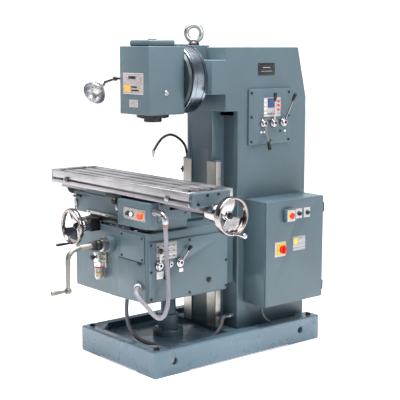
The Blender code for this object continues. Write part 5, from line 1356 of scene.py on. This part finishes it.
CONDUIT_ROUTE = ((0.446, -0.6215, 0.8695), (0.446, -0.6215, 0.848), (0.445, -0.619, 0.81),
    (0.44, -0.612, 0.755), (0.433, -0.606, 0.7), (0.423, -0.592, 0.62), (0.415, -0.582, 0.54),
    (0.41, -0.577, 0.47), (0.405, -0.58, 0.41), (0.403, -0.6, 0.365), (0.4, -0.632, 0.352),
    (0.393, -0.664, 0.376), (0.378, -0.696, 0.42), (0.35, -0.722, 0.46), (0.3131, -0.7186, 0.4896),
    (0.2931, -0.6998, 0.4973), (0.2791, -0.6866, 0.5027))
COOLANT_ROUTE = ((0.0, -0.56, 0.3885), (0.0, -0.56, 0.365), (0.001, -0.563, 0.338),
    (0.004, -0.566, 0.285), (0.02, -0.562, 0.215), (0.065, -0.545, 0.16), (0.135, -0.515, 0.133),
    (0.21, -0.455, 0.125), (0.258, -0.37, 0.125), (0.275, -0.28, 0.125), (0.272, -0.19, 0.126),
    (0.252, -0.11, 0.138), (0.222, -0.045, 0.165), (0.2, -0.012, 0.196), (0.193, 0.01, 0.207),
    (0.193, 0.0305, 0.207))
CABLE_ROUTE = ((0.3, 0.21, 0.2675), (0.3, 0.21, 0.25), (0.3, 0.216, 0.225), (0.299, 0.235, 0.19),
    (0.296, 0.268, 0.16), (0.291, 0.32, 0.137), (0.288, 0.38, 0.125), (0.284, 0.425, 0.131),
    (0.284, 0.445, 0.134), (0.284, 0.4593, 0.134))


def conduit_radius(travelled):
    """Plain ends, and ribs on the stretch between."""
    ribbed_from, ribbed_to, pitch = 0.12, 0.5, 0.008
    if travelled < 0.012:
        return 0.0128
    if ribbed_from < travelled < ribbed_to:
        return 0.0122 + 0.001 * math.sin(2 * math.pi * travelled / pitch)
    return 0.0118 if travelled < ribbed_from else 0.0124


def make_hoses():
    points = smooth_route(CONDUIT_ROUTE, 0.0018)
    conduit = Piece("conduit_look", "knee", "hose_grey")
    conduit.add(sweep(points, conduit_radius, 20), HOSE_GREY)
    conduit = conduit.mesh_object()
    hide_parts("conduit_hose")
    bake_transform(conduit)

    points = smooth_route(COOLANT_ROUTE, 0.006)
    coolant = Piece("coolant_look", "frame", "hose_grey")
    coolant.add(sweep(points, lambda s: 0.0115, 24), HOSE_DARK)
    coolant = coolant.mesh_object()
    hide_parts("coolant_hose")
    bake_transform(coolant)

    points = smooth_route(CABLE_ROUTE, 0.005)
    cable = Piece("cable_look", "frame", "rubber_black")
    cable.add(sweep(points, lambda s: 0.0070, 20), HOSE_DARK)
    cable = cable.done("cabinet_cable")

    collars = Piece("conduit_collar", "saddle", "steel")
    # The outer collar rings are chrome with a painted brown reflection.
    for z, material in ((0.867, BROWN_REFLECTION_CHROME), (0.861, ORANGE_RED), (0.855, BROWN_REFLECTION_CHROME)):
        collars.add(sleeve("Z", (ELBOW_X, ELBOW_Y), z, z - 0.0045, 0.0131, 0.0152, 40), material)
    collars.done()
    fitting = Piece("hose_fitting_look", "frame", "steel")
    fitting.add(turned("Y", (0.193, 0.207), [(0.031, 0.0125), (0.032, 0.016), (0.046, 0.016),
        (0.048, 0.014), (0.0712, 0.014)]), ZINC)
    fitting.add(sleeve("Y", (0.193, 0.207), 0.018, 0.028, 0.0117, 0.014), CHROME)
    fitting.done("hose_fitting")
    clip = Piece("coolant_clip", "knee", "steel")
    clip.add(sleeve("Z", (0.0, -0.56), 0.372, 0.386, 0.0117, 0.0138), CHROME)
    clip.done()


# ---------------------------------------------------------------- assembly

make_camera()
make_world()
make_stage()
make_hoses()
make_frame_looks()
make_way_faces()
make_speed_panel()
make_levers()
make_eye_bolt()
make_cabinet()
make_head()
make_spindle()
make_lamp()
make_knee_looks()
make_screw_column()
make_lube_pump()
make_wheels()
make_crank()
make_control_box()
make_engage_lever()
make_saddle_looks()
make_table_looks()
make_coolant()
